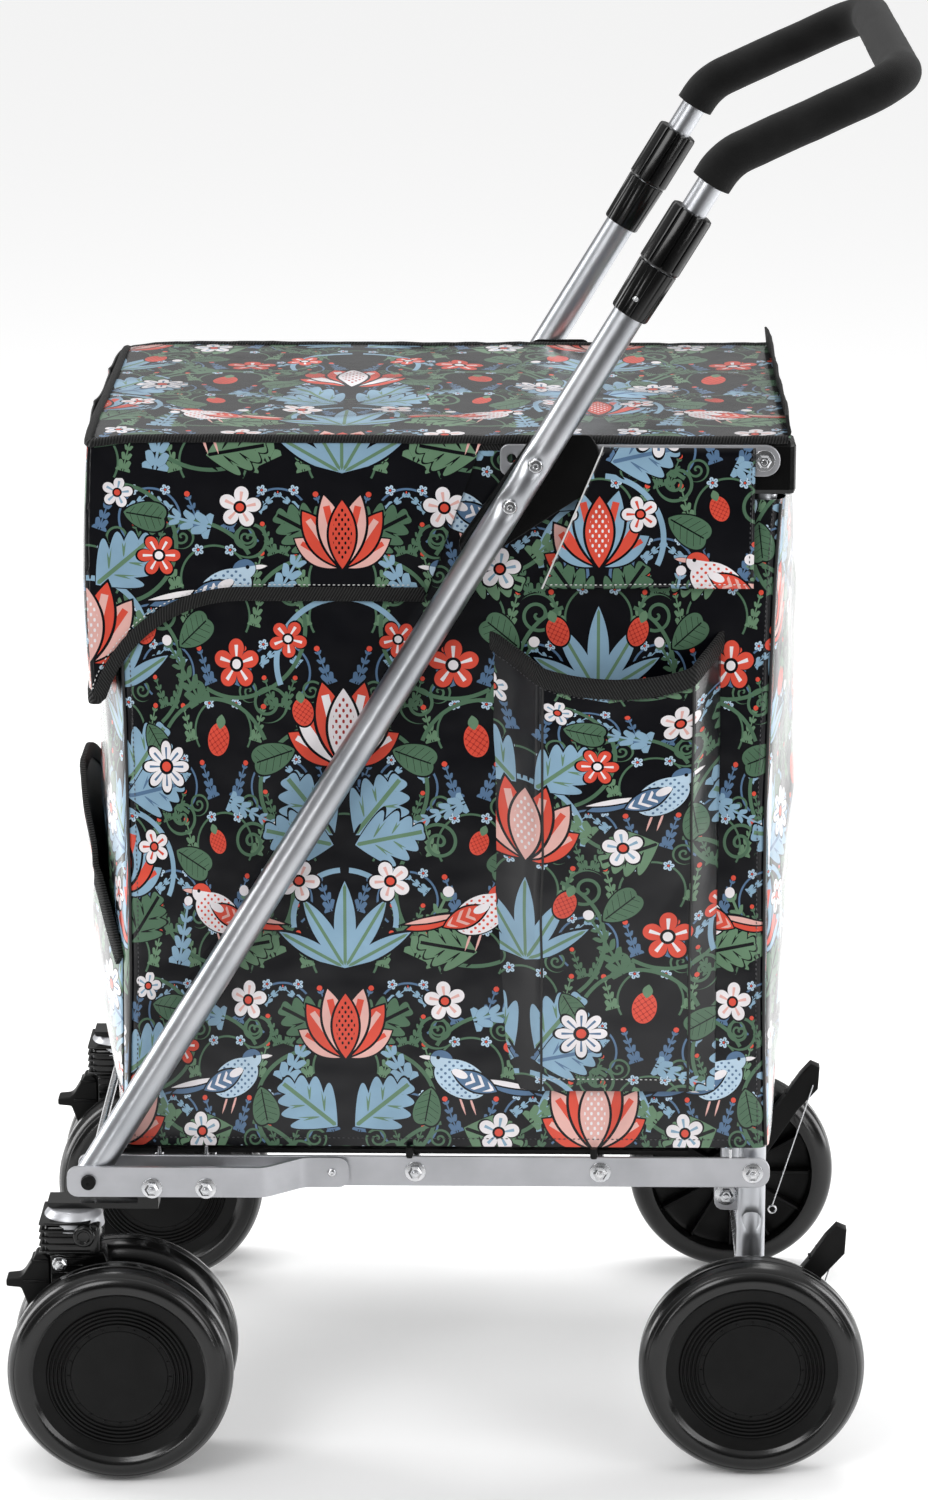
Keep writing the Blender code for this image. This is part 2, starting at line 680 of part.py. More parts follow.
handle = tube_along("inner_handle_tube", mirrored_path(leg_path(LEG_START)), INNER_R, 4)
finish_part(curve_to_mesh(handle), "steel_tube", smooth=True)

grip_core = tube_along("grip_core", mirrored_path(leg_path(LEG_START)), INNER_R + FIT_GAP, 4)
grip_core = add_cutter(curve_to_mesh(grip_core))
grip_points = leg_path(GRIP_START - 0.006)
grip_points.pop(1)
grip = curve_to_mesh(tube_along("foam_grip", mirrored_path(grip_points), GRIP_R, 4))
cut(grip, grip_core)
finish_part(grip, "foam", smooth=True)


# ---------------------------------------------------------------- bag
def open_shell(name, low, high, corner_r, wall, open_sides=("+Z",)):
    """Box shell with rounded upright edges, open on some sides, solid wall inwards."""
    low, high = Vector(low), Vector(high)
    bm = bmesh.new()
    bmesh.ops.create_cube(bm, size=1.0)
    bmesh.ops.scale(bm, vec=high - low, verts=bm.verts)
    normals = {"+Z": Vector((0, 0, 1)), "-Z": Vector((0, 0, -1)), "+X": Vector((1, 0, 0))}
    if corner_r:
        upright = [e for e in bm.edges if abs((e.verts[0].co - e.verts[1].co).z) > 0.001]
        bmesh.ops.bevel(bm, geom=upright, offset=corner_r, segments=3, profile=0.5, affect="EDGES")
    gone = [f for f in bm.faces if any(f.normal.dot(normals[s]) > 0.9 for s in open_sides)]
    bmesh.ops.delete(bm, geom=gone, context="FACES_ONLY")
    obj = mesh_from(bm, name)
    obj.location = (low + high) / 2
    solid = obj.modifiers.new("wall", "SOLIDIFY")
    solid.thickness = wall
    solid.offset = -1
    solid.use_even_offset = True
    return obj


SLEEVE_GAP = 0.0006                  # cloth round the rear posts
notch_cutters = []
for label, side in SIDES:
    edge = side * (CAP_Y[0] - 0.002)
    beyond = side * 0.200
    notch = box(
        f"corner_notch_{label}",
        (CAP_X[0] - 0.002, min(edge, beyond), CAP_LOW - 0.003),
        (CAP_X[1] + 0.020, max(edge, beyond), CAP_TOP + 0.020),
    )
    notch_cutters.append(add_cutter(notch))
    sleeve_hole = cylinder_cutter(
        f"post_sleeve_{label}", (REAR_X, side * (POST_Y - SLEEVE_GAP), BAG_BOTTOM), (0, 0, 1),
        POST_R + SLEEVE_GAP, 0.02, ROUND,
    )
    notch_cutters.append(sleeve_hole)

bag = open_shell(
    "bag_body", (BAG_FRONT, -BAG_HALF_W, BAG_BOTTOM), (BAG_REAR, BAG_HALF_W, BAG_TOP),
    BAG_CORNER_R, BAG_WALL,
)
cut(bag, *notch_cutters)
finish_part(bag, "coated_fabric")

board_z = BAG_BOTTOM + BAG_WALL + FIT_GAP
base_board = box(
    "base_board", (BAG_FRONT + 0.012, -0.1630, board_z), (REAR_X - 0.016, 0.1630, board_z + 0.003)
)
finish_part(base_board, "board")

POCKET_X = (REAR_X - 0.187, REAR_X - 0.026)
POCKET_Z = (0.275, 0.607)
POCKET_DEPTH = 0.030
pocket = open_shell(
    "side_pocket",
    (POCKET_X[0], -BAG_HALF_W - FIT_GAP - POCKET_DEPTH, POCKET_Z[0]),
    (POCKET_X[1], -BAG_HALF_W - FIT_GAP, POCKET_Z[1]), 0, BAG_WALL,
)
finish_part(pocket, "coated_fabric")

FRONT_POCKET_HALF_W = 0.158
FRONT_POCKET_DEPTH = 0.022
FRONT_POCKET_Z = (0.265, 0.480)
front_pocket = open_shell(
    "front_pocket",
    (BAG_FRONT - FIT_GAP - FRONT_POCKET_DEPTH, -FRONT_POCKET_HALF_W, FRONT_POCKET_Z[0]),
    (BAG_FRONT - FIT_GAP, FRONT_POCKET_HALF_W, FRONT_POCKET_Z[1]), 0, BAG_WALL,
)
finish_part(front_pocket, "coated_fabric")

for label, side in SIDES:
    flap_edges = sorted((side * (PLATE_Y[0] + 0.0002), side * (PLATE_Y[1] - 0.0001)))
    flap = box(
        f"strap_flap_{label}",
        (REAR_X - 0.110, flap_edges[0], 0.640), (REAR_X - 0.012, flap_edges[1], 0.7425),
    )
    finish_part(flap, "coated_fabric")

# ---------------------------------------------------------------- lid
lid = open_shell(
    "lid", (LID_FRONT, -LID_HALF_W, LID_HEM_FRONT_Z), (BAG_REAR, LID_HALF_W, LID_UNDER + LID_THICK),
    0, LID_THICK, ("-Z", "+X"),
)
hem_bend = arc_points((LID_FRONT + 0.104, LID_HEM_FRONT_Z - 0.026), 0.100, 165, 90, 8)
hem_cut_outline = hem_bend + [
    (LID_SKIRT_END - 0.040, LID_HEM_SIDE_Z + 0.001), (LID_SKIRT_END, LID_UNDER - 0.0002),
    (BAG_REAR + 0.020, LID_UNDER - 0.0002), (BAG_REAR + 0.020, LID_HEM_FRONT_Z - 0.030),
    (LID_FRONT + 0.010, LID_HEM_FRONT_Z - 0.030),
]
hem_cutter = outline_curve("hem_cutter", [hem_cut_outline], 0.20)
hem_cutter.rotation_euler = (math.pi / 2, 0, 0)
hem_cutter = add_cutter(curve_to_mesh(hem_cutter))
cut(lid, hem_cutter)
finish_part(lid, "coated_fabric")

# Moving pieces turn about their own origins.
HINGE_POINTS = {"lid": Vector((BAG_REAR, 0, LID_UNDER))}
for label, side in SIDES:
    HINGE_POINTS[f"top_strap_{label}"] = Vector((REAR_X, side * sum(STRAP_Y) / 2, TOP_Z))
    HINGE_POINTS[f"brake_pedal_{label}"] = Vector((REAR_X, side * sum(PEDAL_Y) / 2, WHEEL_R))
    HINGE_POINTS[f"swivel_lock_lever_{label}"] = Vector((LEVER_X, side * CASTER_Y, LEVER_PIVOT_Z))
    HINGE_POINTS[f"rear_post_{label}"] = Vector((REAR_X, side * POST_Y, BASE_Z))
    HINGE_POINTS[f"caster_fork_{label}"] = Vector((SWIVEL_X, side * CASTER_Y, FORK_TOP))
bpy.context.view_layer.update()
for name, point in HINGE_POINTS.items():
    obj = PARTS.objects[name]
    shift = obj.matrix_world.inverted() @ point
    obj.data.transform(Matrix.Translation(-shift))
    obj.location = point
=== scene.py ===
"""Looks of the folding shopping trolley: soft bag, printed cloth, tubes, wheels and fittings."""
import json
import math

import bmesh
import bpy
from mathutils import Matrix, Vector, noise


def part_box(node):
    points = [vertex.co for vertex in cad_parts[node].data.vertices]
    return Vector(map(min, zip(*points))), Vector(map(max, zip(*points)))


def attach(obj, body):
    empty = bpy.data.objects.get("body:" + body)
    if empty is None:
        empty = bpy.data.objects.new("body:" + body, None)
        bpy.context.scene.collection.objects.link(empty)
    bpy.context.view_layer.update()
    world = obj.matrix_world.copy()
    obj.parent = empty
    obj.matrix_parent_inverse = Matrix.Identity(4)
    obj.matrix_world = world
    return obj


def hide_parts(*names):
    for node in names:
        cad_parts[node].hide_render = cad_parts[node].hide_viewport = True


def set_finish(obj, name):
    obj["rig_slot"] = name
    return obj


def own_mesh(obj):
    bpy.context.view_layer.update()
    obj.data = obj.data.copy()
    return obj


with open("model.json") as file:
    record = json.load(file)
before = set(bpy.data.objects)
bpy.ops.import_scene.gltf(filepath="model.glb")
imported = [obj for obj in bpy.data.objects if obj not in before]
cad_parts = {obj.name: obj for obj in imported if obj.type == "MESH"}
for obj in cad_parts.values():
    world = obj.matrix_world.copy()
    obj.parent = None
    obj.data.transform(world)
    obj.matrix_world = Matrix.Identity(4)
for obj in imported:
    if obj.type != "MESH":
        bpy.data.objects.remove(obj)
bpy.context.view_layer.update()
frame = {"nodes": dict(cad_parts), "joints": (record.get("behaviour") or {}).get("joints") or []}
JOINTS = {j["name"]: j for j in frame["joints"]}
SIDES = (("left", -1), ("right", 1))


def joint_place(name):
    return Vector(JOINTS[name]["pos_m"])


FRONT_PIVOT = joint_place("frame_fold")
REAR_PIVOT = joint_place("rear_legs_fold")
TOP_PIVOT = joint_place("top_straps_fold")
TUBE_DIR = Vector(JOINTS["handle_height"]["axis"]).normalized()
TUBE_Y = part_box("handle_tube_right")[1].y - 0.011
REAR_X = REAR_PIVOT.x


# ---------------------------------------------------------------- camera, light, floor
def make_camera():
    """Looks at the trolley's left side from slightly above, with a long lens."""
    pitch, yaw = math.radians(15.3), math.radians(-0.9)
    forward = Vector((math.sin(yaw) * math.cos(pitch), math.cos(yaw) * math.cos(pitch), -math.sin(pitch)))
    data = bpy.data.cameras.new("camera")
    data.lens = 118.3
    data.sensor_width = 36.0
    data.clip_end = 60.0
    camera = bpy.data.objects.new("camera", data)
    camera.location = (REAR_X - 0.1528, -3.4681, 1.4249)
    camera.rotation_mode = "QUATERNION"
    camera.rotation_quaternion = forward.to_track_quat("-Z", "Y")
    bpy.context.scene.collection.objects.link(camera)
    bpy.context.scene.camera = camera


def soft_box(name, place, target, size, power):
    data = bpy.data.lights.new(name, "AREA")
    data.shape = "RECTANGLE"
    data.size, data.size_y = size
    data.energy = power
    lamp = bpy.data.objects.new(name, data)
    lamp.location = place
    lamp.rotation_euler = (Vector(target) - Vector(place)).to_track_quat("-Z", "Y").to_euler()
    bpy.context.scene.collection.objects.link(lamp)


def make_stage():
    bpy.ops.mesh.primitive_plane_add(size=60, location=(0, 0, -0.0005))
    floor = bpy.context.object
    floor.name = "studio_floor"
    paint = bpy.data.materials.new("floor_paint")
    paint.use_nodes = True
    Formula.tree = paint.node_tree
    shader = paint.node_tree.nodes["Principled BSDF"]
    set_inputs(shader, Roughness=0.9, Specular_IOR_Level=0.0)
    reach = Plane(*split_vector(add_node("TexCoord").outputs["Object"]))
    tint(shader, reach.y.times_plus(0.5, 1.0), (0.20, 0.10), (0.72, 0.90))
    set_inputs(shader, Emission_Color=(1, 1, 1, 1))
    link(ramp(reach.y.times_plus(0.25, 0.10), ((0.0, 0.0), (0.40, 0.30))), shader.inputs["Emission Strength"])
    floor.data.materials.append(paint)
    world = bpy.data.worlds.new("studio")
    bpy.context.scene.world = world
    world.use_nodes = True
    Formula.tree = world.node_tree
    background = world.node_tree.nodes["Background"]
    ahead, height = split_vector(add_node("TexCoord").outputs["Generated"], 1)
    glow = height.times_plus(0.60, ahead.times_plus(0.12, 0.28))
    link(ramp(glow, ((0.20, 0.03), (0.48, 0.25), (0.58, 0.42), (0.85, 1.0))), background.inputs["Color"])
    background.inputs["Strength"].default_value = 1.0
    soft_box("key", (-1.6, -2.6, 2.6), (0, 0, 0.5), (1.6, 1.6), 55)
    soft_box("fill", (2.4, -1.8, 1.5), (0, 0, 0.5), (1.2, 2.0), 28)
    soft_box("rim_front", (-2.2, 0.5, 0.9), (-0.1, 0, 0.5), (0.9, 1.8), 35)
    soft_box("rim_rear", (2.3, 0.7, 0.9), (0.2, 0, 0.5), (0.9, 1.8), 30)
    soft_box("glint_front", (-1.5, -2.5, 0.35), (-0.1, 0, 0.5), (0.2, 1.3), 9)
    soft_box("glint_rear", (1.9, -2.2, 0.5), (0.1, 0, 0.5), (0.2, 1.4), 8)
    soft_box("overhead", (0.1, 0.8, 3.0), (0, 0, 0.6), (2.0, 1.4), 40)
    bpy.context.scene.view_settings.view_transform = "Standard"


# ---------------------------------------------------------------- shader formulas
class Formula:
    """A number or a shader socket; sums of Formulas make Math nodes."""

    tree = None

    def __init__(self, source):
        self.source = source

    @staticmethod
    def math(operation, *values, clamp=False):
        node = add_node("Math")
        node.operation = operation
        node.use_clamp = clamp
        for socket, value in zip(node.inputs, values):
            source = value.source if isinstance(value, Formula) else value
            if isinstance(source, (int, float)):
                socket.default_value = source
            else:
                Formula.tree.links.new(source, socket)
        return Formula(node.outputs[0])

    def __add__(self, other):
        return Formula.math("ADD", self, other)

    def __sub__(self, other):
        return Formula.math("SUBTRACT", self, other)

    def __rsub__(self, other):
        return Formula.math("SUBTRACT", other, self)

    def __mul__(self, other):
        return Formula.math("MULTIPLY", self, other)

    def __gt__(self, other):
        return Formula.math("GREATER_THAN", self, other)

    def __lt__(self, other):
        return Formula.math("LESS_THAN", self, other)

    def __abs__(self):
        return Formula.math("ABSOLUTE", self)

    def times_plus(self, factor, extra):
        return Formula.math("MULTIPLY_ADD", self, factor, extra)

    def fold(self, scale):
        return Formula.math("PINGPONG", self, scale)

    def wrap(self, period):
        return Formula.math("FLOORED_MODULO", self, period)

    def sine(self):
        return Formula.math("SINE", self)

    def cosine(self):
        return Formula.math("COSINE", self)


def add_node(kind):
    return Formula.tree.nodes.new("ShaderNode" + kind)


def least(first, second):
    return Formula.math("MINIMUM", first, second)


def most(first, second):
    return Formula.math("MAXIMUM", first, second)


class Plane:
    """A place on the cloth, given by its two coordinates."""

    def __init__(self, x, y):
        self.x, self.y = x, y

    def at(self, x, y, turn=0.0, size=1.0, tall=None):
        """The same place seen from a point, turned by degrees, in units of size."""
        tall = size if tall is None else tall
        c, s = math.cos(math.radians(turn)), math.sin(math.radians(turn))
        along = self.x.times_plus(c / size, self.y.times_plus(s / size, -(x * c + y * s) / size))
        across = self.x.times_plus(-s / tall, self.y.times_plus(c / tall, (x * s - y * c) / tall))
        return Plane(along, across)

    def xy(self):
        return self.x, self.y

    def radius(self):
        return Formula.math("SQRT", self.x.times_plus(self.x, self.y * self.y))

    def angle(self):
        return Formula.math("ARCTAN2", self.y, self.x)


def cloth_place():
    """Print coordinates of the cloth, in centimetres."""
    uv = add_node("UVMap")
    uv.uv_map = "print"
    split = add_node("SeparateXYZ")
    Formula.tree.links.new(uv.outputs["UV"], split.inputs[0])
    return Plane(Formula(split.outputs[0]), Formula(split.outputs[1]))


INK = {
    "ground": (0.0018, 0.0020, 0.0036), "blue": (0.24, 0.385, 0.51), "deep_blue": (0.09, 0.165, 0.28),
    "green": (0.075, 0.150, 0.090), "leaf_green": (0.125, 0.225, 0.135), "red": (0.66, 0.075, 0.045),
    "dark_red": (0.36, 0.025, 0.018), "white": (0.80, 0.76, 0.78), "pink": (0.74, 0.42, 0.38),
    "pale_blue": (0.46, 0.60, 0.72),
}


class Print:
    """Paints shapes one over another in the order they are given."""

    def __init__(self):
        self.colour = (*INK["ground"], 1.0)

    def paint(self, mask, colour):
        node = add_node("Mix")
        node.data_type = "RGBA"
        node.clamp_factor = False
        Formula.tree.links.new(mask.source, node.inputs["Factor"])
        if isinstance(self.colour, tuple):
            node.inputs[6].default_value = self.colour
        else:
            Formula.tree.links.new(self.colour, node.inputs[6])
        node.inputs[7].default_value = (*INK[colour], 1.0)
        self.colour = node.outputs[2]

    def shape(self, value, colour, outline=0.0):
        """Fills where the value is above 0, with a ground-coloured line round it."""
        if outline:
            self.paint(value > -outline, "ground")
        self.paint(value > 0.0, colour)


def blob(place, x, y, rx, ry, turn=0.0):
    """Value above 0 inside a turned ellipse."""
    return 1.0 - place.at(x, y, turn, rx, ry).radius()


def blade(place, width):
    """Value above 0 inside a pointed leaf from 0 to 1 along X; also its own X and |Y|."""
    x, y = place.xy()
    side = abs(y)
    return (x * (1.0 - x)).times_plus(4.0 * width, side * -1.0), x, side


def lobed_leaf(ink, tile, x, y, turn, size, colour, vein):
    """Leaf with four round lobes on both sides, a middle vein and side veins."""
    value, along, side = blade(tile.at(x, y, turn, size), 0.34)
    slant = side.times_plus(-0.9, along) * (math.pi * 4)
    waves = slant.sine()
    lobed = abs(waves).times_plus(0.16, value) - 0.10
    ink.shape(lobed, colour, 0.05)
    middle = side.times_plus(-1.0, 0.028)
    ribs = abs(slant.cosine()).times_plus(1.0, side * 0.6) - 1.03
    veins = most(middle, ribs)
    inner = least(veins, lobed - 0.07)
    ink.paint(inner > 0.0, vein)


def fan_leaf(ink, tile, x, y, turn, size):
    """Palm-like leaf: five pointed fingers spread round its base."""
    local = tile.at(x, y, turn, size)
    angle = local.angle()
    reach = local.radius()
    fan = math.radians(150)
    finger_turn = fan / 5
    folded = angle.fold(finger_turn)
    near = least(folded, abs(folded - finger_turn))
    length = abs(angle).times_plus(-0.16, 1.0)
    across = near * reach
    finger = reach * (length - reach)
    value = finger.times_plus(0.52, across * -1.0)
    within = fan / 2 - abs(angle)
    value = least(value, within)
    ink.shape(value, "blue", 0.03)
    line = least(across.times_plus(-1.0, 0.018), value - 0.015)
    ink.paint(line > 0.0, "leaf_green")


def heart_leaf(ink, tile, x, y, turn, size):
    """Heart-shaped leaf with a dark middle vein."""
    lx, ly = tile.at(x, y, turn, size).xy()
    side = abs(ly)
    shape = lx + side * 0.55
    value = 1.0 - Formula.math("SQRT", shape * shape + ly * ly * 1.9)
    ink.shape(value, "green", 0.10)
    fine = least(side.times_plus(-1.0, 0.035), value - 0.12)
    ribs = least(abs((shape * 9.0).sine()).times_plus(-1.0, 0.10), value - 0.15)
    ink.paint(most(fine, ribs) > 0.0, "ground")


def rosette(ink, tile, x, y, size, petals, colour, mark, core="ground", turn=0.0):
    """Round flower with even petals, a coloured streak on each and a core."""
    local = tile.at(x, y, turn, size)
    reach = local.radius()
    beat = abs((local.angle() * (petals / 2)).cosine())
    value = Formula.math("POWER", beat, 0.55).times_plus(0.62, 0.36) - reach
    ink.shape(value, colour, 0.10)
    streak = least((beat - 0.93) - reach * 0.05, 0.74 - reach)
    ink.paint(streak > 0.0, mark)
    ink.paint(reach < 0.30, "ground")
    ink.paint(reach < 0.19, core)


def bow(ink, tile, x, y, radius, start, sweep, thick, colour="green"):
    """Stem bent on a circle, from a start angle through a sweep, in degrees."""
    local = tile.at(x, y, start + sweep / 2)
    line = abs(local.radius() - radius)
    within = math.radians(abs(sweep) / 2) - abs(local.angle())
    value = least(line * -1.0 + thick, within)
    ink.paint(value > 0.0, colour)


def curl(ink, tile, x, y, size, turn, colour="green", thick=0.055):
    """Small spiral tendril."""
    local = tile.at(x, y, turn, size)
    reach = local.radius()
    swirl = local.angle().times_plus(1.0 / (2 * math.pi), reach * -1.9)
    line = abs(swirl.wrap(1.0) - 0.5).times_plus(-0.5, thick + 0.02)
    ink.paint(least(line, 1.0 - reach) > 0.0, colour)


def sprig(ink, tile, x, y, turn, size, pairs, colour="blue", tip="white"):
    """Straight twig with pairs of small pointed leaves and a berry at its tip."""
    local = tile.at(x, y, turn, size)
    lx, ly = local.xy()
    side = abs(ly)
    within = least(lx, 1.0 - lx)
    stem = least(side.times_plus(-1.0, 0.020), within)
    step = (lx - side * 0.8).wrap(1.0 / pairs) * pairs
    reach = lx.times_plus(-0.12, 0.21) - side
    half = least(side * reach, 0.008).times_plus(34.0, 0.0)
    leaves = least(half - abs(step - 0.5) * 0.55, least(reach, within))
    ink.paint(most(stem, leaves) > 0.0, colour)
    ink.paint(blob(local, 1.03, 0, 0.075, 0.075) > 0.0, tip)


def tulip(ink, tile, x, y, turn, size, outer, inner, fleck):
    """Cup of five pointed petals with a flecked middle."""
    local = tile.at(x, y, turn, size)
    lx, ly = local.xy()
    half = Plane(lx, abs(ly))
    for angle, length, width, colour in (
        (58, 0.78, 0.22, outer), (34, 0.98, 0.20, inner), (13, 1.08, 0.17, outer),
    ):
        value, along, side = blade(half.at(0, 0.02, angle, length), width)
        ink.shape(value, colour, 0.035)
        streak = least(side.times_plus(-1.0, 0.045), (along - 0.2) * (0.85 - along))
        ink.paint(streak > 0.0, inner if colour == outer else outer)
    value, along, side = blade(half.at(-0.02, 0, 0, 1.0), 0.19)
    ink.shape(value, inner, 0.035)
    dots = (along * 46.0).sine() * (side * 70.0).cosine()
    ink.paint(least(dots - 0.45, value - 0.05) > 0.0, fleck)


def berry(ink, tile, x, y, size, turn=0.0):
    """Egg-shaped fruit with a net of seeds and a leafy cap."""
    local = tile.at(x, y, turn, size)
    lx, ly = local.xy()
    value = blob(local, 0, 0, 1.0, 0.72)
    ink.shape(value, "red", 0.14)
    net = abs(((lx + ly) * 8.0).sine()) * abs(((lx - ly) * 8.0).sine())
    ink.paint(least(0.16 - net, value - 0.08) > 0.0, "dark_red")
    cap, _, _ = blade(local.at(0.62, 0, 0, 0.9), 0.34)
    ink.paint(cap > 0.0, "leaf_green")


def song_bird(ink, tile, x, y, size, turn, coat, breast, trim, flip=1.0):
    """Small perched bird in profile, made of a few round and pointed shapes."""
    base = tile.at(x, y, turn, size, size * flip)
    for foot in (-0.02, 0.16):
        leg, _, _ = blade(base.at(foot, -0.28, -108, 0.42), 0.05)
        ink.paint(leg > 0.0, "pink")
    for angle, colour, wide in ((197, coat, 0.11), (191, trim, 0.05)):
        tail, _, _ = blade(base.at(-0.22, 0.0, angle, 1.0), wide)
        ink.shape(tail, colour, 0.03)
    head = blob(base, 0.46, 0.36, 0.20, 0.175, 20)
    body = blob(base, 0.12, 0.0, 0.50, 0.33, 28)
    beak, _, _ = blade(base.at(0.56, 0.38, 8, 0.30), 0.13)
    ink.shape(beak, trim, 0.03)
    whole = most(head, body)
    ink.shape(whole, breast, 0.06)
    bx, by = base.xy()
    dots = (bx * 44.0).sine() * (by * 44.0).sine()
    ink.paint(least(dots - 0.5, body - 0.08) > 0.0, coat)
    ink.paint(least(head, by - bx * 0.15 - 0.33) > 0.0, coat)
    wing_place = base.at(0.26, 0.13, 205, 0.86)
    wing, along, side = blade(wing_place, 0.20)
    ink.shape(wing, coat, 0.04)
    bars = least(((along + side) * 30.0).sine() - 0.35, wing - 0.035)
    bars = least(bars, along - 0.34)
    ink.paint(bars > 0.0, trim)
    ink.paint(blob(base, 0.14, 0.10, 0.15, 0.075, 25) > 0.0, "white")
    ink.paint(blob(base, 0.52, 0.40, 0.034, 0.034) > 0.0, "ground")


# Printed repeat, in centimetres: mirrored at both sides, repeated upwards.
REPEAT_HALF = 17.6
REPEAT_TALL = 41.0


def garden_print(place):
    """Mirrored garden of leaves, flowers, berries and birds on a dark ground."""
    px, py = place.xy()
    tile = Plane(px.fold(REPEAT_HALF), py.wrap(REPEAT_TALL))
    ink = Print()
    cell = Plane(px.fold(REPEAT_HALF / 4), py.wrap(REPEAT_TALL / 5))
    bow(ink, cell, 0.0, 1.2, 2.3, -30, 150, 0.075, "green")
    bow(ink, cell, REPEAT_HALF / 4, 5.4, 2.1, 80, 150, 0.075, "deep_blue")
    curl(ink, cell, 2.2, 4.1, 0.85, 100, "green", 0.07)
    for x, y, turn, size, pairs, colour in (
        (2.6, 0.5, 75, 2.5, 4, "leaf_green"), (0.9, 4.6, 70, 2.6, 4, "deep_blue"),
        (4.1, 2.9, 110, 2.2, 4, "green"), (3.0, 6.0, 40, 1.9, 3, "blue"),
    ):
        sprig(ink, cell, x, y, turn, size, pairs, colour, "red")
    for x, y, size in ((1.1, 3.2, 0.42), (3.3, 7.4, 0.38)):
        rosette(ink, cell, x, y, size, 5, "pale_blue", "deep_blue", "red")
    for x, y, radius, start, sweep in (
        (9.0, 6.0, 5.4, 150, 190), (9.6, 15.5, 4.4, -60, 220), (7.6, 25.0, 5.0, 100, 200),
        (10.4, 33.4, 4.6, -80, 230), (1.2, 13.5, 4.6, -60, 150), (16.8, 22.0, 4.8, 110, 150),
        (2.0, 31.0, 4.4, -70, 150), (15.6, 36.4, 4.2, 100, 150),
    ):
        bow(ink, tile, x, y, radius, start, sweep, 0.14)
    for x, y, radius, start, sweep in (
        (17.6, 7.5, 4.4, 95, 110), (0.0, 22.5, 4.6, -20, 105), (0.0, 4.0, 3.6, -10, 95),
        (17.6, 30.0, 4.0, 90, 100),
    ):
        bow(ink, tile, x, y, radius, start, sweep, 0.19, "blue")
    for x, y, size, turn in (
        (6.6, 9.6, 1.5, 20), (12.4, 11.4, 1.4, 200), (5.2, 19.6, 1.4, 90), (13.4, 26.0, 1.5, 300),
        (6.4, 36.8, 1.4, 150), (3.4, 27.4, 1.2, 10),
    ):
        curl(ink, tile, x, y, size, turn)
    for x, y, turn, size, pairs, colour in (
        (5.0, 1.2, 65, 5.2, 5, "leaf_green"), (12.8, 0.6, 100, 4.6, 5, "blue"),
        (10.6, 19.6, 60, 5.0, 6, "green"), (4.4, 33.0, 120, 4.6, 5, "blue"),
        (13.0, 30.0, 40, 4.4, 5, "leaf_green"), (9.0, 37.6, 15, 4.6, 5, "blue"),
        (8.4, 12.6, 205, 4.0, 5, "blue"), (15.6, 12.4, 100, 4.8, 5, "green"),
    ):
        sprig(ink, tile, x, y, turn, size, pairs, colour)
    for x, y, turn, size, colour, vein in (
        (0.6, 10.0, 52, 5.6, "blue", "leaf_green"), (0.6, 9.4, 12, 5.2, "blue", "leaf_green"),
        (17.0, 13.6, 128, 5.6, "blue", "leaf_green"), (17.0, 12.8, 168, 5.0, "blue", "deep_blue"),
        (0.5, 29.5, 40, 5.4, "blue", "leaf_green"), (17.1, 33.4, 140, 5.4, "blue", "leaf_green"),
        (9.4, 1.6, 170, 4.4, "leaf_green", "ground"), (8.2, 29.6, -20, 4.6, "leaf_green", "ground"),
        (17.0, 2.0, 125, 4.6, "green", "ground"), (0.6, 36.4, 28, 4.6, "green", "ground"),
    ):
        lobed_leaf(ink, tile, x, y, turn, size, colour, vein)
    fan_leaf(ink, tile, 0.0, 0.4, 90, 6.4)
    fan_leaf(ink, tile, REPEAT_HALF, 20.4, 90, 6.2)
    for x, y, turn, size in (
        (11.6, 8.2, 30, 1.5), (4.8, 15.8, 160, 1.5), (11.0, 24.6, -40, 1.5), (5.8, 31.2, 80, 1.35),
        (13.6, 38.4, 10, 1.4), (14.4, 17.0, 60, 1.2),
    ):
        heart_leaf(ink, tile, x, y, turn, size)
    tulip(ink, tile, 0.0, 15.2, 90, 5.6, "red", "white", "dark_red")
    tulip(ink, tile, REPEAT_HALF, 28.0, 90, 5.4, "red", "pink", "white")
    tulip(ink, tile, REPEAT_HALF, 5.6, 90, 5.0, "blue", "red", "white")
    tulip(ink, tile, 0.0, 34.8, 90, 4.8, "pink", "red", "ground")
    for x, y, size, petals, colour, mark, core, turn in (
        (7.6, 22.4, 1.85, 5, "red", "white", "white", 18), (3.2, 6.8, 1.5, 5, "white", "pink", "red", 40),
        (13.6, 15.0, 1.9, 8, "white", "deep_blue", "red", 0),
        (10.8, 29.2, 1.5, 5, "white", "blue", "red", 10), (3.8, 24.2, 1.35, 5, "red", "white", "white", 50),
        (14.8, 9.2, 1.3, 5, "white", "red", "red", 0), (7.0, 39.0, 1.5, 5, "white", "pink", "red", 25),
        (12.6, 35.6, 1.5, 6, "red", "white", "white", 0), (15.4, 40.0, 1.1, 5, "white", "blue", "red", 30),
    ):
        rosette(ink, tile, x, y, size, petals, colour, mark, core, turn)
    for x, y, size, turn in (
        (9.2, 17.0, 1.2, 100), (2.8, 19.0, 1.0, 80), (14.8, 24.8, 1.05, 110), (9.4, 9.6, 0.9, 70)
    ):
        berry(ink, tile, x, y, size, turn)
    song_bird(ink, tile, 9.0, 4.4, 4.0, 0, "red", "white", "pink")
    song_bird(ink, tile, 8.6, 33.2, 4.0, 180, "deep_blue", "pale_blue", "white", -1.0)
    return ink.colour


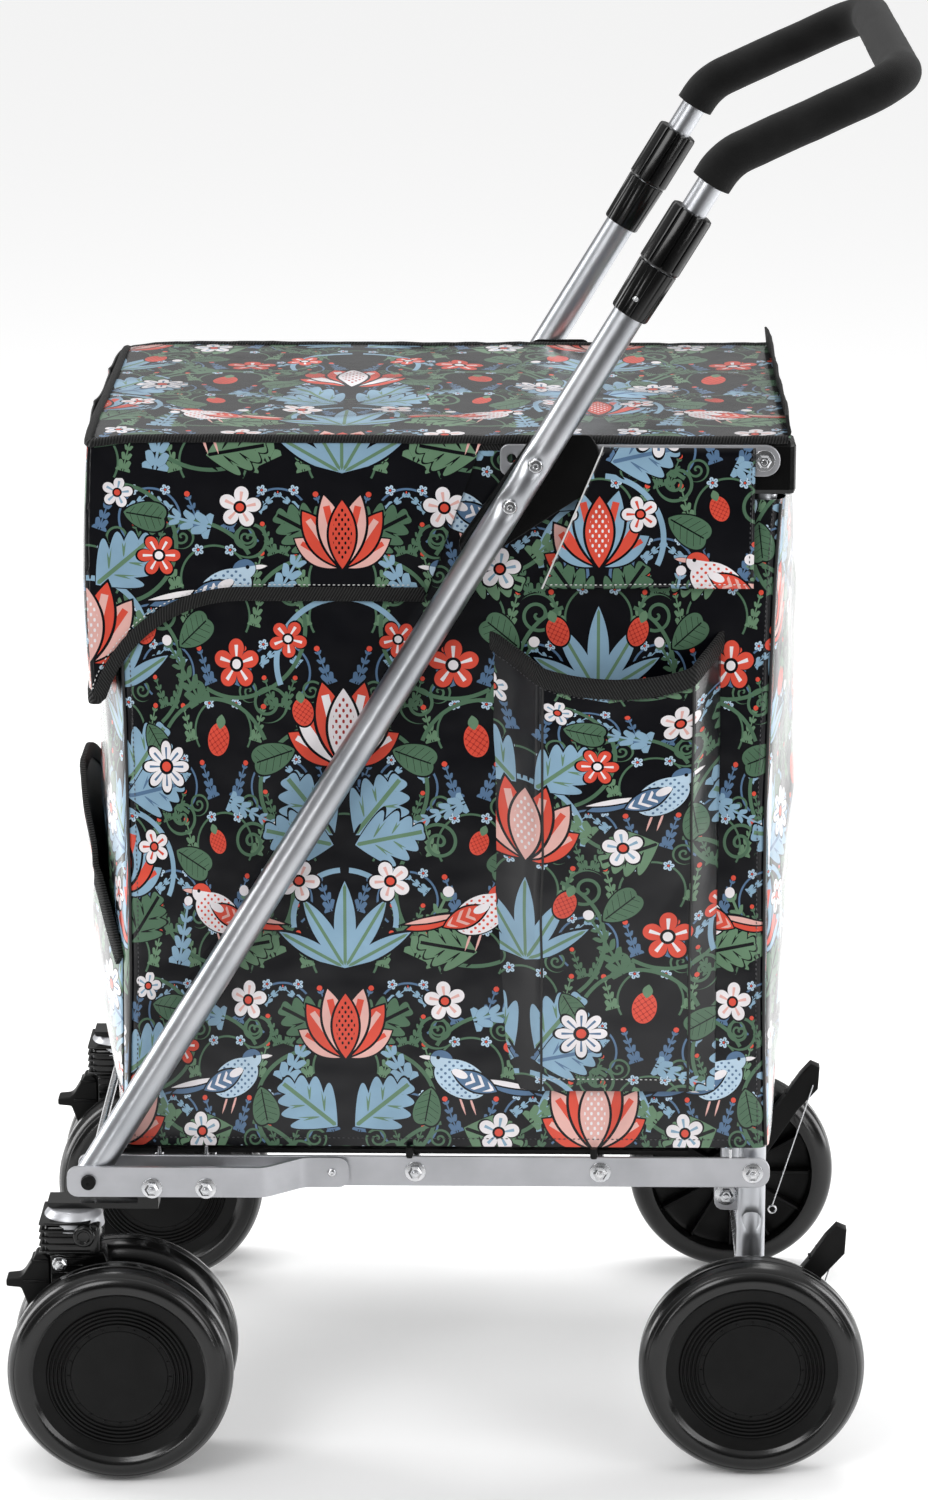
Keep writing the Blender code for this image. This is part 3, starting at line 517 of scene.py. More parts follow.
# ---------------------------------------------------------------- materials
def new_material(name, rough, metal=0.0, colour=(0.5, 0.5, 0.5)):
    material = bpy.data.materials.new(name)
    material.use_nodes = True
    Formula.tree = material.node_tree
    shader = material.node_tree.nodes["Principled BSDF"]
    set_inputs(shader, Base_Color=(*colour, 1), Roughness=rough, Metallic=metal)
    return material, shader


def set_inputs(shader, **values):
    """Sets a node's plain values; names have _ for spaces."""
    for name, value in values.items():
        shader.inputs[name.replace("_", " ")].default_value = value


def link(source, target):
    Formula.tree.links.new(source.source if isinstance(source, Formula) else source, target)


def noise_node(scale, detail=3.0, stretch=None):
    """Noise in object space, in cycles per metre, stretched along an axis on request."""
    coords = add_node("TexCoord").outputs["Object"]
    if stretch:
        mapping = add_node("Mapping")
        mapping.inputs["Scale"].default_value = stretch
        link(coords, mapping.inputs["Vector"])
        coords = mapping.outputs["Vector"]
    node = add_node("TexNoise")
    set_inputs(node, Scale=scale, Detail=detail, Roughness=0.5)
    link(coords, node.inputs["Vector"])
    return Formula(node.outputs["Fac"])


def ramp(value, stops):
    node = add_node("ValToRGB")
    elements = node.color_ramp.elements
    while len(elements) < len(stops):
        elements.new(0.5)
    for element, (place, colour) in zip(elements, stops):
        element.position = place
        element.color = (*colour, 1) if isinstance(colour, tuple) else (colour, colour, colour, 1)
    link(value, node.inputs["Fac"])
    return node.outputs["Color"]


def split_vector(vector, first=0):
    """Two neighbouring coordinates of a vector."""
    node = add_node("SeparateXYZ")
    link(vector, node.inputs[0])
    return Formula(node.outputs[first]), Formula(node.outputs[first + 1])


def bump(shader, height, distance, strength=1.0, before=None):
    node = add_node("Bump")
    set_inputs(node, Distance=distance, Strength=strength)
    link(height, node.inputs["Height"])
    if before:
        link(before, node.inputs["Normal"])
    link(node.outputs["Normal"], shader.inputs["Normal"])
    return node.outputs["Normal"]


def tint(shader, value, *stops):
    """Base colour by a value, between stops."""
    link(ramp(value, stops), shader.inputs["Base Color"])


def roughen(shader, value, low, high):
    """Roughness by a 0 to 1 value, between two limits."""
    link(value.times_plus(high - low, low), shader.inputs["Roughness"])


def print_cloth():
    """Printed cotton under a clear glossy coating."""
    material, shader = new_material("printed_coated_cloth", 0.32)
    place = cloth_place()
    colour = garden_print(place)
    tint = noise_node(30, 4)
    fade = add_node("Mix")
    fade.data_type = "RGBA"
    fade.blend_type = "MULTIPLY"
    fade.inputs["Factor"].default_value = 1.0
    link(colour, fade.inputs[6])
    link(ramp(tint, ((0.25, 0.82), (0.75, 1.06))), fade.inputs[7])
    link(fade.outputs[2], shader.inputs["Base Color"])
    set_inputs(shader, Coat_Weight=1.0, Coat_Roughness=0.06, Coat_IOR=1.36, Specular_IOR_Level=0.12)
    x, y = place.xy()
    weave = ((x * 62.0).sine() * (y * 62.0).sine()).times_plus(0.5, 0.5)
    first = bump(shader, weave, 0.00006, 0.5)
    ripple = noise_node(16, 2)
    second = bump(shader, ripple, 0.0055, 0.55, first)
    link(second, shader.inputs["Coat Normal"])
    roughen(shader, noise_node(60, 2), 0.24, 0.42)
    return material


def lining_cloth():
    material, shader = new_material("black_lining", 0.6, colour=(0.012, 0.012, 0.013))
    bump(shader, noise_node(900, 2), 0.0002, 0.6)
    tint(shader, noise_node(40), (0.3, 0.008), (0.7, 0.016))
    return material


def grosgrain():
    """Black ribbed binding tape, ribs across its length; its colour has painted shade between the ribs."""
    material, shader = new_material("ribbed_tape", 0.72, colour=(0.01, 0.01, 0.01))
    x, y = cloth_place().xy()
    ribs = ((x + y * 0.6) * 30.0).sine().times_plus(0.5, 0.5)
    bump(shader, ribs, 0.0009, 1.0)
    # Colour follows the rib height: painted shade in the hollows between ribs, lighter on the rib tops.
    tint(shader, ribs, (0.3, 0.001), (0.8, 0.022))
    set_inputs(shader, Sheen_Weight=0.03, Specular_IOR_Level=0.25)
    return material


def tube_metal():
    """Drawn tube with fine lengthwise lines and soft patches."""
    material, shader = new_material("drawn_tube", 0.34, 1.0)
    streak = noise_node(220, 3, (1.0, 1.0, 0.06))
    tint(shader, noise_node(18, 3), (0.3, (0.40, 0.415, 0.44)), (0.7, (0.53, 0.54, 0.565)))
    roughen(shader, streak, 0.30, 0.40)
    bump(shader, streak, 0.00002, 0.25)
    return material


def bar_metal():
    """Satin aluminium bar with a faint rolled grain."""
    material, shader = new_material("satin_bar", 0.4, 0.8)
    grain = noise_node(300, 4, (0.05, 1.0, 1.0))
    tint(shader, noise_node(25, 4), (0.3, (0.40, 0.405, 0.425)), (0.7, (0.50, 0.505, 0.53)))
    roughen(shader, grain, 0.30, 0.52)
    bump(shader, grain, 0.00008, 0.35)
    return material


def zinc():
    material, shader = new_material("zinc_plate", 0.25, 1.0)
    tint(shader, noise_node(160, 3), (0.35, (0.55, 0.56, 0.58)), (0.7, (0.66, 0.66, 0.67)))
    roughen(shader, noise_node(240, 2), 0.20, 0.32)
    bump(shader, noise_node(500, 2), 0.00008, 0.3)
    return material


def moulded(name, dark, light, rough_low, rough_high, grain_scale, grain_depth, shine=0.3):
    """Moulded black plastic or rubber with a fine spark texture and scuffs."""
    material, shader = new_material(name, rough_low)
    set_inputs(shader, Specular_IOR_Level=shine)
    tint(shader, noise_node(35, 4), (0.3, dark), (0.75, light))
    roughen(shader, noise_node(90, 4), rough_low, rough_high)
    bump(shader, noise_node(grain_scale, 2), grain_depth, 0.5)
    return material


def foam():
    material, shader = new_material("closed_cell_foam", 0.95, colour=(0.01, 0.01, 0.01))
    cells = add_node("TexVoronoi")
    cells.inputs["Scale"].default_value = 1500
    link(add_node("TexCoord").outputs["Object"], cells.inputs["Vector"])
    bump(shader, Formula(cells.outputs["Distance"]), 0.0003, 0.6)
    tint(shader, noise_node(50, 3), (0.3, 0.003), (0.7, 0.007))
    set_inputs(shader, Sheen_Weight=0.05, Specular_IOR_Level=0.25)
    return material


MATERIALS = {
    "print": print_cloth(), "lining": lining_cloth(), "tape": grosgrain(), "tube": tube_metal(),
    "bar": bar_metal(), "zinc": zinc(), "foam": foam(),
    "matte_black": moulded("matte_black_plastic", 0.0025, 0.005, 0.34, 0.55, 1400, 0.0001, 0.16),
    "gloss_black": moulded("gloss_black_plastic", 0.002, 0.004, 0.12, 0.26, 700, 0.00004, 0.34),
    "tyre": moulded("wheel_tread", 0.002, 0.004, 0.16, 0.26, 1100, 0.00005, 0.45),
    "thread": moulded("pale_thread", (0.55, 0.55, 0.55), (0.75, 0.75, 0.74), 0.45, 0.6, 3000, 0.0001),
    "dark_thread": moulded("grey_thread", (0.045, 0.045, 0.05), (0.10, 0.10, 0.105), 0.4, 0.6, 3000, 0.0001),
    "wheel_face": moulded("wheel_face", 0.003, 0.006, 0.30, 0.46, 1600, 0.00007, 0.13),
}
SLOTS = {
    "print": "coated_fabric", "lining": "coated_fabric", "tape": "coated_fabric", "tube": "tube_metal",
    "bar": "alloy_bar", "zinc": "zinc", "foam": "foam", "matte_black": "black_plastic",
    "gloss_black": "gloss_black", "thread": "coated_fabric", "dark_thread": "coated_fabric",
    "tyre": "wheel_rubber", "wheel_face": "wheel_rubber",
}


# ---------------------------------------------------------------- mesh helpers
def add_object(name, mesh, *looks):
    obj = bpy.data.objects.new(name, mesh)
    bpy.context.scene.collection.objects.link(obj)
    for look in looks:
        mesh.materials.append(MATERIALS[look])
    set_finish(obj, SLOTS[looks[0]])
    return obj


def piece_from(bm, name, *looks):
    """Object made of a finished bmesh."""
    mesh = bpy.data.meshes.new(name)
    bm.to_mesh(mesh)
    bm.free()
    return add_object(name, mesh, *looks)


def settle(obj, body, *nodes):
    """Lets a piece ride on a body and stand for its CAD nodes; a curve becomes a mesh first."""
    if obj.type == "CURVE":
        name = obj.name
        obj = meshed(obj)
        obj.name = name
    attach(obj, body)
    if nodes:
        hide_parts(*nodes)
    return obj


def lerp(a, b, t):
    return a + (b - a) * t


def between(low, high, count):
    """Evenly spaced values from low to high, in count steps."""
    return [lerp(low, high, k / count) for k in range(count + 1)]


def turn_step(k, steps):
    """Cosine and sine of one of the equal steps of a full turn."""
    angle = math.tau * k / steps
    return math.cos(angle), math.sin(angle)


def mirrored(path):
    """The path seen in the trolley's middle plane, from its last point back to its first."""
    return [Vector((p.x, -p.y, p.z)) for p in reversed(path)]


def smooth(obj, degrees):
    """Smooth shading with sharp edges from an angle up."""
    obj.data.shade_smooth()
    obj.data.set_sharp_from_angle(angle=math.radians(degrees))
    return obj


def frame_along(direction, start):
    """Matrix that turns the Z axis to a direction and moves it to a start."""
    turn = Vector((0, 0, 1)).rotation_difference(Vector(direction)).to_matrix().to_4x4()
    return Matrix.Translation(start) @ turn


def lathe(name, profile, steps, where, looks, face_look=None):
    """Turned piece from its (radius, height) profile; face_look(radius, height) picks a face's look."""
    bm = bmesh.new()
    rings = []
    for r, h in profile:
        if r < 1e-7:
            rings.append([bm.verts.new((0, 0, h))])
            continue
        turns = [turn_step(k, steps) for k in range(steps)]
        rings.append([bm.verts.new((r * c, r * s, h)) for c, s in turns])
    for i in range(len(rings) - 1):
        upper, lower = rings[i], rings[i + 1]
        for k in range(steps):
            n = (k + 1) % steps
            if len(upper) == 1 and len(lower) == 1:
                continue
            if len(upper) == 1:
                face = bm.faces.new((upper[0], lower[k], lower[n]))
            elif len(lower) == 1:
                face = bm.faces.new((upper[k], lower[0], upper[n]))
            else:
                face = bm.faces.new((upper[k], lower[k], lower[n], upper[n]))
            face.smooth = True
            if face_look:
                (r0, h0), (r1, h1) = profile[i], profile[i + 1]
                face.material_index = face_look((r0 + r1) / 2, (h0 + h1) / 2)
    bm.transform(where)
    return smooth(piece_from(bm, name, *looks), 40)


def corner_arc(before, corner, after, radius, parts):
    """Points of a short arc that rounds one corner."""
    corner = Vector(corner)
    to_before, to_after = Vector(before) - corner, Vector(after) - corner
    reach = min(radius, to_before.length * 0.45, to_after.length * 0.45)
    first, last = corner + to_before.normalized() * reach, corner + to_after.normalized() * reach
    points = []
    for k in range(parts + 1):
        t = k / parts
        mixed = first.lerp(corner, t).lerp(corner.lerp(last, t), t)
        points.append((mixed.x, mixed.y))
    return points


def rounded(profile, radius, parts=3):
    """Rounds the corners of an open profile."""
    points = [profile[0]]
    for before, corner, after in zip(profile, profile[1:], profile[2:]):
        points += corner_arc(before, corner, after, radius, parts)
    return points + [profile[-1]]


def round_loop(points, radius):
    """Rounds every corner of a closed outline."""
    made = []
    for k, corner in enumerate(points):
        made += corner_arc(points[k - 1], corner, points[(k + 1) % len(points)], radius, 4)
    return made


def heading(path, k):
    """Direction of a path at one of its points, from the point before to the point after."""
    return path[min(k + 1, len(path) - 1)] - path[max(k - 1, 0)]


def loft(bm, lower, upper, flip=False):
    """Smooth faces between two rings with as many points."""
    for k in range(len(lower)):
        n = (k + 1) % len(lower)
        quad = (lower[k], lower[n], upper[n], upper[k])
        bm.faces.new(quad[::-1] if flip else quad).smooth = True


def swept(name, points, radius, looks, sides=24):
    """Round bar along points; the radius may be a function of the way along it, from 0 to 1."""
    bm = bmesh.new()
    rings = []
    normal = None
    for k, point in enumerate(points):
        ahead = heading(points, k).normalized()
        if normal is None:
            normal = ahead.orthogonal().normalized()
        normal = (normal - ahead * normal.dot(ahead)).normalized()
        other = ahead.cross(normal)
        wide = radius(k / (len(points) - 1)) if callable(radius) else radius
        turns = [turn_step(k, sides) for k in range(sides)]
        rings.append([bm.verts.new(point + (normal * c + other * s) * wide) for c, s in turns])
    for lower, upper in zip(rings, rings[1:]):
        loft(bm, lower, upper)
    bm.faces.new(rings[0][::-1])
    bm.faces.new(rings[-1])
    return smooth(piece_from(bm, name, *looks), 50)


def slab(name, outline, low, high, look, bevel=0.0006, holes=()):
    """Flat upright plate with softened edges: outline in X and Z, from low to high along Y."""
    curve = bpy.data.curves.new(name, "CURVE")
    curve.dimensions = "2D"
    curve.fill_mode = "BOTH"
    curve.extrude = (high - low) / 2 - bevel
    curve.bevel_depth = bevel
    curve.bevel_resolution = 2
    curve.offset = -bevel
    for loop in [outline, *holes]:
        spline = curve.splines.new("POLY")
        spline.points.add(len(loop) - 1)
        for point, (x, y) in zip(spline.points, loop):
            point.co = (x, y, 0, 1)
        spline.use_cyclic_u = True
    obj = bpy.data.objects.new(name, curve)
    obj.matrix_world = Matrix.Translation((0, (low + high) / 2, 0)) @ Matrix.Rotation(math.pi / 2, 4, "X")
    bpy.context.scene.collection.objects.link(obj)
    curve.materials.append(MATERIALS[look])
    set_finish(obj, SLOTS[look])
    return obj


def arc(cx, cy, radius, start, end, count=8):
    return [
        (cx + radius * math.cos(math.radians(start + (end - start) * k / count)),
         cy + radius * math.sin(math.radians(start + (end - start) * k / count)))
        for k in range(count + 1)
    ]


def capsule(x0, x1, z, half, front_r, rear_r):
    """Outline of a bar with rounded ends."""
    rear_x, front_x = x1 - rear_r, x0 + front_r
    points = arc(rear_x, z - half + rear_r, rear_r, -90, 0)
    points += arc(rear_x, z + half - rear_r, rear_r, 0, 90)
    points += arc(front_x, z + half - front_r, front_r, 90, 180)
    return points + arc(front_x, z - half + front_r, front_r, 180, 270)


def joined(name, pieces):
    """Joins finished objects into one piece, keeping their materials."""
    bpy.context.view_layer.update()
    bm = bmesh.new()
    looks = []
    for piece in pieces:
        mesh = piece.data
        offsets = []
        for material in mesh.materials:
            if material not in looks:
                looks.append(material)
            offsets.append(looks.index(material))
        first = len(bm.faces)
        mesh = mesh.copy()
        mesh.transform(piece.matrix_world)
        bm.from_mesh(mesh)
        bm.faces.ensure_lookup_table()
        for face in bm.faces[first:]:
            face.material_index = offsets[face.material_index] if offsets else 0
    mesh = bpy.data.meshes.new(name)
    bm.to_mesh(mesh)
    bm.free()
    for material in looks:
        mesh.materials.append(material)
    obj = bpy.data.objects.new(name, mesh)
    bpy.context.scene.collection.objects.link(obj)
    obj["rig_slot"] = pieces[0]["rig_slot"]
    for piece in pieces:
        bpy.data.objects.remove(piece, do_unlink=True)
    return obj


# ---------------------------------------------------------------- bolts
def hex_bolt(name, place, outward, head_r=0.0048, washer_r=0.0075, height=0.0036):
    """Hex bolt head on a dished washer, with a short threaded end showing."""
    where = frame_along(outward, place)
    washer = lathe(
        name + "_washer", rounded([(0.0, 0.0013), (washer_r, 0.0009), (washer_r, 0.0), (0.0, 0.0)], 0.0003),
        32, where, ["zinc"],
    )
    head = lathe(
        name + "_head",
        [
            (0.0, height + 0.0010), (head_r * 0.74, height + 0.0010), (head_r * 1.04, height),
            (head_r * 1.04, 0.0009), (0.0, 0.0009),
        ],
        6, where, ["zinc"],
    )
    head.data.shade_flat()
    stud = lathe(
        name + "_stud",
        rounded([(0.0, height + 0.0026), (0.0021, height + 0.0026), (0.0023, height), (0.0, height)], 0.0004),
        20, where, ["zinc"],
    )
    return [washer, head, stud]


def rod_with_heads(node, body, x, z, half_length, black_front=False):
    """Cross rod with a bolt head and washer at each end."""
    pieces = []
    for label, side in SIDES:
        outward = Vector((0, side, 0))
        place = Vector((x, side * half_length, z))
        if black_front:
            cap = lathe(
                f"{node}_{label}",
                rounded(
                    [
                        (0.0, 0.0030), (0.0012, 0.0030), (0.0012, 0.0038), (0.0050, 0.0036), (0.0054, 0.0),
                        (0.0, 0.0),
                    ],
                    0.0004,
                ),
                32, frame_along(outward, place), ["matte_black"],
            )
            pieces.append(cap)
        else:
            pieces += hex_bolt(f"{node}_{label}", place, outward)
    low, high = Vector((x, -half_length, z)), Vector((x, half_length, z))
    pieces.append(swept(f"{node}_shank", [low, high], 0.003, ["zinc"], 16))
    rod = joined(f"{node}_bolts", pieces)
    settle(rod, body, node)


# ---------------------------------------------------------------- base frame
def place_of(node):
    """Middle of a CAD node's box."""
    low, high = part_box(node)
    return (low + high) / 2


def build_base():
    """Cross rods, rails, outer straps, and the looks of the platform and the board."""
    strap_face, rail_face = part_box("outer_strap_right")[1].y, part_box("base_rail_right")[1].y
    rod_with_heads("front_pivot_rod", "base_frame", FRONT_PIVOT.x, FRONT_PIVOT.z, strap_face, True)
    for node in ("front_tie_rod_1", "front_tie_rod_2", "base_tie_rod_1", "base_tie_rod_2", "rear_pivot_rod"):
        middle = place_of(node)
        face = strap_face if node.startswith("front") else rail_face
        rod_with_heads(node, "base_frame", middle.x, middle.z, face)
    for label, side in SIDES:
        low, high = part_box(f"base_rail_{label}")
        half = (high.z - low.z) / 2
        rail = slab(
            f"rail_{label}", capsule(low.x, high.x, (low.z + high.z) / 2, half, 0.006, 0.009), low.y, high.y,
            "bar",
        )
        settle(rail, "base_frame", f"base_rail_{label}")
        build_outer_strap(label, side)
    own_look("base_platform", "matte_black")
    own_look("base_board", "lining", False)


def build_outer_strap(label, side):
    """Joggled flat bar with bent, slightly rounded shoulders and rounded ends."""
    low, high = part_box(f"outer_strap_{label}")
    outer, inner = max(abs(low.y), abs(high.y)), min(abs(low.y), abs(high.y))
    thick = 0.003
    path = [
        (low.x, outer - thick / 2), (REAR_X - 0.345, outer - thick / 2), (REAR_X - 0.318, inner + thick / 2),
        (high.x, inner + thick / 2),
    ]
    path = rounded(path, 0.006, 5)
    rows = 10
    bm = bmesh.new()
    grid = []
    length = [0.0]
    for before, here in zip(path, path[1:]):
        length.append(length[-1] + (Vector(here) - Vector(before)).length)
    end_r = 0.0075
    stations = [0.0, 0.0006, 0.0015, 0.003, 0.005, end_r]
    inside = [s for s in length if end_r < s < length[-1] - end_r]
    stations = stations + inside + [length[-1] - s for s in reversed(stations)]
    half = (high.z - low.z) / 2
    middle_z = (high.z + low.z) / 2

    def plan(s):
        for k in range(1, len(length)):
            before, here = Vector(path[k - 1]), Vector(path[k])
            if s <= length[k] + 1e-9:
                t = (s - length[k - 1]) / max(length[k] - length[k - 1], 1e-9)
                return before.lerp(here, t), (here - before).normalized()
        return here, (here - before).normalized()

    for s in stations:
        nearest = min(s, length[-1] - s)
        trim = 0.0
        if nearest < end_r:
            trim = end_r - math.sqrt(max(end_r ** 2 - (end_r - nearest) ** 2, 0.0))
        spot, along = plan(s)
        across = Vector((-along.y, along.x))
        ring = []
        for offset, row in [(0.5, r) for r in range(rows + 1)] + [(-0.5, r) for r in range(rows, -1, -1)]:
            z = middle_z + (half - trim) * (1 - 2 * row / rows)
            xy = spot + across * thick * offset
            ring.append(bm.verts.new((xy.x, side * xy.y, z)))
        grid.append(ring)
    for first, second in zip(grid, grid[1:]):
        loft(bm, first, second)
    bm.faces.new(grid[0][::-1])
    bm.faces.new(grid[-1])
    bmesh.ops.recalc_face_normals(bm, faces=bm.faces)
    strap = smooth(piece_from(bm, f"joggled_strap_{label}", "bar"), 30)
    rivet = lathe(f"strap_rivet_{label}", rounded([
        (0.0, 0.0016), (0.0014, 0.0019), (0.0030, 0.0012), (0.0034, 0.0), (0.0, 0.0),
    ], 0.0004), 24, frame_along((0, side, 0), (high.x - 0.012, side * (inner + thick), middle_z)), ["zinc"])
    settle(joined(f"joggled_strap_{label}_riveted", [strap, rivet]), "base_frame", f"outer_strap_{label}")


# ---------------------------------------------------------------- wheels
def wheel_profile(radius, half):
    """Closed hub disc, rings, flat face and grooved shoulder; hollow inner face with a hub."""
    mm = [(0.0, 12.9), (34.0, 12.9), (34.6, 12.2), (37.4, 12.1)]
    for ring in range(5):
        start = 38.0 + ring * 2.8
        mm += [(start, 12.1), (start + 0.6, 13.7), (start + 1.5, 13.7), (start + 2.1, 12.1)]
    mm += [
        (52.4, 12.7), (60.0, 12.9), (61.0, 13.4), (62.6, 15.4), (64.6, 16.5), (67.6, 17.0), (70.6, 16.7),
        (73.6, 15.2), (74.3, 14.3), (75.0, 14.3), (76.6, 12.9), (78.6, 9.6), (78.7, 8.8), (79.5, 7.6),
        (79.9, 4.6), (79.3, 4.0), (79.3, 3.4), (80.0, 2.8), (80.0, -2.8), (79.3, -3.4), (79.3, -4.0),
        (79.9, -4.6), (79.5, -7.6), (78.2, -11.0), (75.0, -14.2), (70.5, -16.9), (66.0, -17.0), (63.4, -16.4),
        (62.2, -14.0), (61.6, -4.0), (59.0, -2.0), (24.0, -2.0), (21.5, -4.0), (20.5, -15.2), (19.5, -16.0),
        (10.0, -16.0), (4.1, -16.0), (4.1, 12.65), (0.0, 12.65),
    ]
    drawn_radius, drawn_half = 0.080, 0.017
    scale = radius / drawn_radius
    return [(r * 0.001 * scale, h * 0.001 * half / drawn_half) for r, h in mm]


def small_blocks(name, count, size, reach, height, where, look, bevel=0.0):
    """Equal blocks set round an axis."""
    bm = bmesh.new()
    for k in range(count):
        made = bmesh.ops.create_cube(bm, size=1.0)["verts"]
        bmesh.ops.scale(bm, vec=size, verts=made)
        bmesh.ops.translate(bm, vec=(reach, 0, height), verts=made)
        bmesh.ops.rotate(bm, matrix=Matrix.Rotation(math.tau * k / count, 3, "Z"), verts=made)
    if bevel:
        bmesh.ops.bevel(bm, geom=list(bm.edges), offset=bevel, segments=1, affect="EDGES")
    bm.transform(where)
    return piece_from(bm, name, look)


def build_wheel(node, body, facing):
    centre = place_of(node)
    low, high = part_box(node)
    radius, half = (high.z - low.z) / 2, (high.y - low.y) / 2
    where = frame_along((0, facing, 0), centre)
    tread_from = 0.0605
    tyre = lathe(
        f"{node}_shell", wheel_profile(radius, half), 144, where, ["tyre", "wheel_face"],
        face_look=lambda r, h: 0 if r > tread_from else 1,
    )
    ribs = small_blocks(
        f"{node}_ribs", 12, (radius * 0.50, 0.0022, 0.0095), radius * 0.51, -0.0067, where, "wheel_face",
        0.0004,
    )
    dots = small_blocks(f"{node}_dots", 20, (0.0018, 0.0011, 0.0012), 0.0360, 0.0124, where, "wheel_face")
    settle(joined(f"{node}_moulding", [tyre, ribs, dots]), body, node)


def build_wheels():
    for label, side in SIDES:
        build_wheel(f"rear_wheel_{label}", f"rear_wheel_{label}", side)
        build_wheel(f"front_wheel_{label}_outer", f"front_wheel_{label}_outer", side)
        build_wheel(f"front_wheel_{label}_inner", f"front_wheel_{label}_inner", -side)


# ---------------------------------------------------------------- handle
TUBE_R = 0.011
CLAMP_AT, COLLAR_AT, TUBE_END, BEND_AT = 0.7228, 0.7606, 0.790, 0.832
INNER_R, GRIP_R = 0.0092, 0.014
GUIDE_BOLTS = (0.6025, 0.5690)
LEAN = math.atan2(TUBE_DIR.x, TUBE_DIR.z)


def on_tube(station, side):
    """Point on a handle tube's centre line, by its distance from the front pivot."""
    return Vector((FRONT_PIVOT.x, side * TUBE_Y, FRONT_PIVOT.z)) + TUBE_DIR * station


def pressed_tube(name, start, direction, length, radius, bore, out, dents):
    """Hollow tube along a direction; dents (station, reach, depth) are pressed in on the out side."""
    steps = 48
    bm = bmesh.new()
    out = Vector(out)
    other = direction.cross(out)
    stations = sorted({length * k / 60 for k in range(61)} | {
        min(max(s + reach * t / 6, 0.0), length) for s, reach, _ in dents for t in range(-12, 13)
    })

    def ring(station, wide, press):
        verts = []
        for k in range(steps):
            a, b = turn_step(k, steps)
            reach_out = a * wide
            if press and a > 0:
                for s, reach, depth in dents:
                    near = math.exp(-((station - s) / reach) ** 2)
                    reach_out -= depth * near * a ** 2
            verts.append(bm.verts.new(start + direction * station + out * reach_out + other * (b * wide)))
        return verts

    outer = [ring(s, radius, True) for s in stations]
    inner = [ring(s, bore, False) for s in (0.0, length)]
    for lower, upper, flip in [(p, q, False) for p, q in zip(outer, outer[1:])] + [
        (inner[0], inner[1], True), (outer[0], inner[0], True), (outer[-1], inner[1], False),
    ]:
        loft(bm, lower, upper, flip)
    bmesh.ops.recalc_face_normals(bm, faces=bm.faces)
    return smooth(piece_from(bm, name, "tube"), 40)


def ribbed_sleeve(name, station, side, profile, ribs, depth):
    """Sleeve on the tube whose outer wall has flat ribs between narrow grooves; profile (r, h, ribbed)."""
    steps = 120
    bm = bmesh.new()
    rings = []
    for r, h, ribbed in profile:
        ring = []
        for k in range(steps):
            c, s = turn_step(k, steps)
            beat = abs(((k * ribs / steps) % 1.0) - 0.5) * 2
            cut = depth * max(1 - beat / 0.22, 0.0) if ribbed else 0.0
            ring.append(bm.verts.new(((r - cut) * c, (r - cut) * s, h)))
        rings.append(ring)
    for i in range(len(rings)):
        upper, lower = rings[i], rings[(i + 1) % len(rings)]
        for k in range(steps):
            n = (k + 1) % steps
            bm.faces.new((upper[k], lower[k], lower[n], upper[n]))
    bmesh.ops.recalc_face_normals(bm, faces=bm.faces)
    bm.transform(frame_along(TUBE_DIR, on_tube(station, side)))
    return smooth(piece_from(bm, name, "gloss_black"), 28)


def grip_path(start):
    """Centre line of the handle: up both legs, over the bend, and across the back."""
    slope, bend_r, corner_r = math.radians(24.8), 0.045, 0.034
    points = [on_tube(start + (BEND_AT - start) * k / 8, -1) for k in range(9)]
    rise = math.pi / 2 - LEAN
    foot = on_tube(BEND_AT, -1)
    for k in range(1, 19):
        angle = rise + (slope - rise) * k / 18
        points.append(foot + Vector((
            bend_r * (math.sin(rise) - math.sin(angle)), 0, bend_r * (math.cos(angle) - math.cos(rise)))))
    along = Vector((math.cos(slope), 0, math.sin(slope)))
    reach = (REAR_X + 0.088 - points[-1].x) / along.x - corner_r
    last = points[-1]
    points += [last + along * (reach * k / 10) for k in range(1, 11)]
    corner = points[-1]
    for k in range(1, 13):
        angle = math.pi / 2 * k / 12
        points.append(
            corner + along * corner_r * math.sin(angle) + Vector((0, 1, 0)) * corner_r * (1 - math.cos(angle))
        )
    left = points[-1]
    points += [Vector((left.x, lerp(left.y, 0.0, k / 12), left.z)) for k in range(1, 12)]
    return points + [Vector((left.x, 0, left.z))] + mirrored(points)


